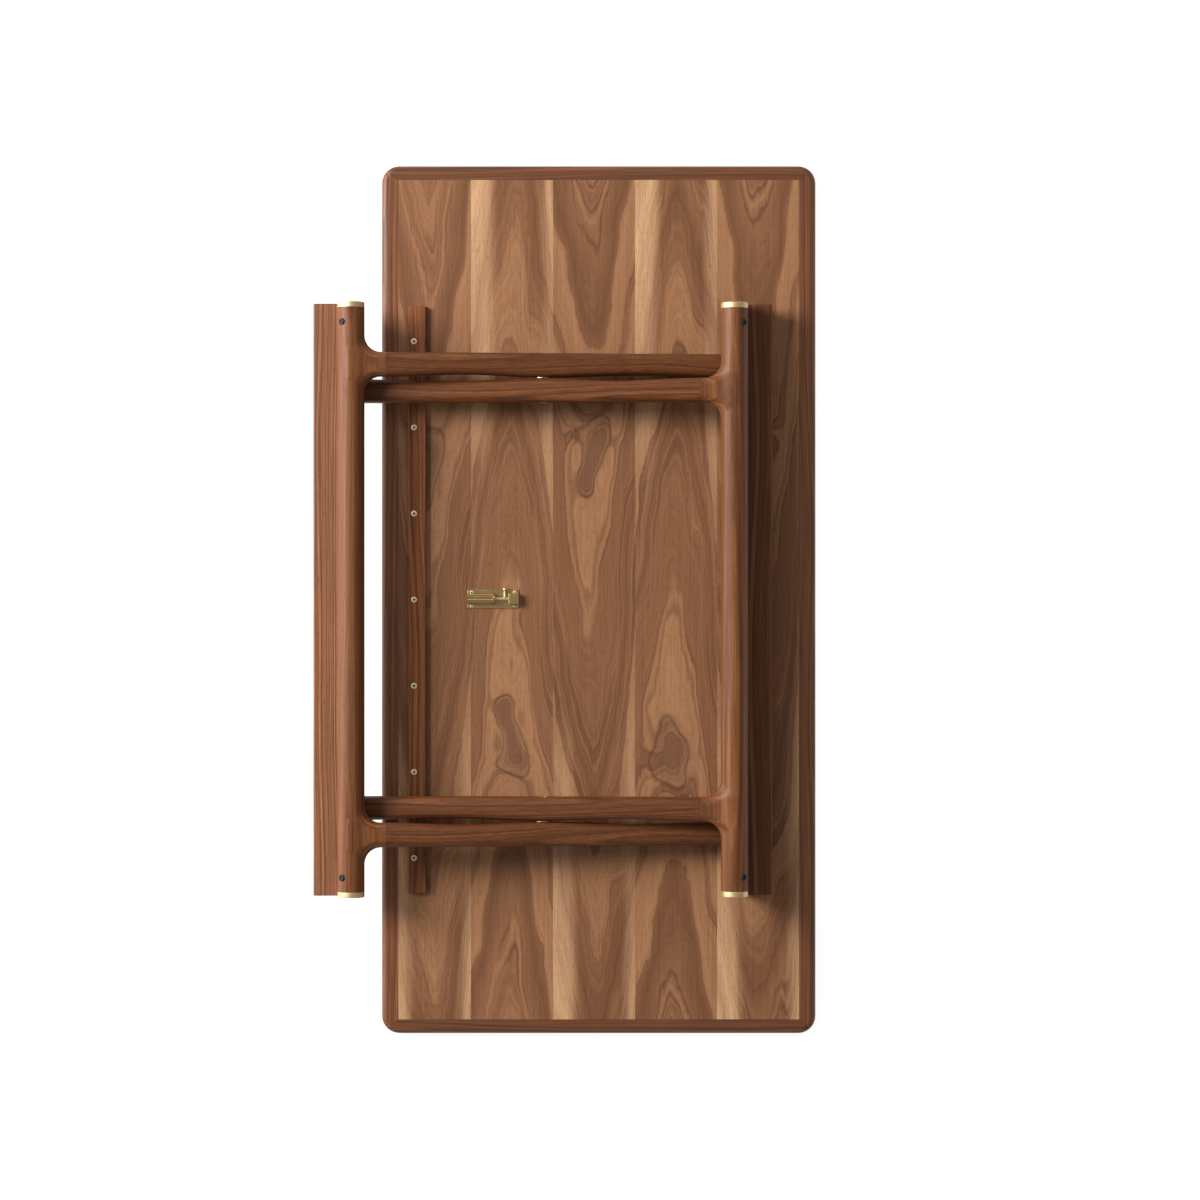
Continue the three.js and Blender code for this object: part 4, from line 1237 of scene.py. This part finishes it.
def hinge_leaf(centre_y, own_knuckles, heights, screw_way):
    """One leaf of a butt hinge, with its pin along Y at the origin. Its length is in thirds, and
    own_knuckles says which of them are its knuckles. Its screws enter from above or below."""
    start = centre_y - BUTT_LENGTH / 2
    third = BUTT_LENGTH / 3
    leaf = block(LEAF_X, (start, start + BUTT_LENGTH), heights, edge=LEAF_EDGE, segments=1)
    for i in range(3):
        own = i in own_knuckles
        inset = GAP / 2 if own else -GAP / 2
        span = (start + i * third + inset, start + (i + 1) * third - inset)
        if own:
            bridge = block((0, LEAF_X[0] + SPARE), span, heights)
            leaf = joined(leaf, bridge, moved(cylinder(KNUCKLE_RADIUS, *span), TO_Y))
        else:
            leaf = cut(leaf, moved(cylinder(KNUCKLE_RADIUS + GAP, *span), TO_Y))
    bore = cylinder(PIN_RADIUS + PIN_ROOM, start - SPARE, start + BUTT_LENGTH + SPARE)
    leaf = cut(leaf, moved(bore, TO_Y))
    for way in (-1, 1):
        hole = screw_hole(**LEAF_SCREW)
        if screw_way < 0:
            hole = moved(hole, UPSIDE_DOWN)
            height = heights[0]
        else:
            height = heights[1]
        leaf = cut(leaf, moved(hole, (LEAF_SCREW_X, centre_y + way * LEAF_SCREW_SPREAD, height)))
    return leaf


def make_hinges():
    table_heights = (-HINGE_HEIGHT, LEAF_THICKNESS - HINGE_HEIGHT)
    rail_heights = (LEAF_BOTTOM, LEAF_BOTTOM + LEAF_THICKNESS)
    on_rail = OUTER_FRAME @ ON_HINGED_RAIL
    for i, side in enumerate((-1, 1)):
        centre_y = side * BUTT_Y
        half = BUTT_LENGTH / 2
        table_leaf = hinge_leaf(centre_y, (0, 2), table_heights, 1)
        make(f"hinge_{i + 1}_table_leaf", table_leaf, HINGE_SEAT, fine_brass)
        rail_leaf = hinge_leaf(centre_y, (1,), rail_heights, -1)
        make(f"hinge_{i + 1}_rail_leaf", rail_leaf, on_rail, fine_brass)
        pin = cylinder(PIN_RADIUS, centre_y - half, centre_y + half, edge=PIN_EDGE)
        make(f"hinge_{i + 1}_pin", moved(pin, TO_Y), OUTER_FRAME, fine_brass)
        for j, (x, y) in enumerate(leaf_screw_spots(side)):
            table_screw = moved(screw(**LEAF_SCREW), (x, y, table_heights[1]))
            make(f"hinge_{i + 1}_table_screw_{j + 1}", table_screw, HINGE_SEAT, fine_brass)
            rail_screw = moved(screw(**LEAF_SCREW), UPSIDE_DOWN, (x, y, rail_heights[0]))
            make(f"hinge_{i + 1}_rail_screw_{j + 1}", rail_screw, on_rail, fine_brass)


def make_pivots():
    for i, side in enumerate((-1, 1)):
        make(f"pivot_bolt_{i + 1}", on_pivot(pivot_bolt(), side), OUTER_FRAME, fine_brass)
        make(f"pivot_washer_{i + 1}", on_pivot(pivot_washer(), side), OUTER_FRAME, bright_brass)
        make(f"pivot_nut_{i + 1}", on_pivot(pivot_nut(), side), OUTER_FRAME, fine_brass)


# ---- The object --------------------------------------------------

bright_brass = brass("bright_brass", BRIGHT_BRASS, roughness=0.3)
cap_brass = brass("cap_brass", CAP_BRASS, roughness=0.46)
aged_brass = brass("aged_brass", AGED_BRASS, roughness=0.26, along="X")
cleat_face = UNDERSIDE + CLEAT_HEIGHT
cleat_screw_brass = brass("cleat_screw_brass", SCREW_BRASS, roughness=0.42, face=cleat_face)
catch_screw_brass = brass("catch_screw_brass", SCREW_BRASS, roughness=0.42, face=PLATE_TOP)
fine_brass = brass("fine_brass", HINGE_BRASS, roughness=0.26)
pad_rubber = rubber("pad_rubber_black")

make_tabletop()
make_catch()
make_frame("outer", OUTER_FRAME, OUTER_LEG_Y, -1, board=1, bar_tone=0.96)
make_frame("inner", INNER_FRAME, INNER_LEG_Y, 1, board=2, bar_tone=0.93)
hinged_wood = walnut("walnut_hinged_rail", "Y", pith=(0.1, 0.2), shift=6.4, tone=0.86, warmth=1.12)
make("hinged_rail", hinged_rail(), OUTER_FRAME, hinged_wood)
free_wood = walnut("walnut_free_rail", "Y", pith=(-0.55, 0.02), shift=8.2, tone=1.12, warmth=0.72)
make("free_rail", free_rail(), INNER_FRAME, free_wood)
make("strike_ferrule", strike_ferrule(), INNER_FRAME, bright_brass)
make_pivots()
make_hinges()

# ---- Floor, light and camera -------------------------------------


def area_light(name, place, size, power):
    """A square light that faces the middle of the object."""
    data = bpy.data.lights.new(name, "AREA")
    data.size = size
    data.energy = power
    made = bpy.data.objects.new(name, data)
    made.location = place
    made.rotation_euler = (-Vector(place)).to_track_quat("-Z", "Y").to_euler()
    bpy.context.scene.collection.objects.link(made)


def set_stage():
    floor_mesh = bmesh.new()
    bmesh.ops.create_grid(floor_mesh, x_segments=1, y_segments=1, size=FLOOR_SIZE)
    floor = new_object("floor", floor_mesh)
    floor.location.z = -MM
    floor.data.materials.append(floor_finish())
    world = bpy.data.worlds.new("studio")
    world.use_nodes = True
    background = world.node_tree.nodes["Background"]
    background.inputs["Color"].default_value = (1, 1, 1, 1)
    background.inputs["Strength"].default_value = WORLD_STRENGTH
    bpy.context.scene.world = world
    for name, light in LIGHTS.items():
        area_light(name, **light)
    bpy.context.scene.view_settings.view_transform = "Standard"


def set_camera():
    data = bpy.data.cameras.new("camera")
    data.angle = CAMERA_FIELD
    camera = bpy.data.objects.new("camera", data)
    camera.location = CAMERA_PLACE
    bpy.context.scene.collection.objects.link(camera)
    bpy.context.scene.camera = camera


set_stage()
set_camera()
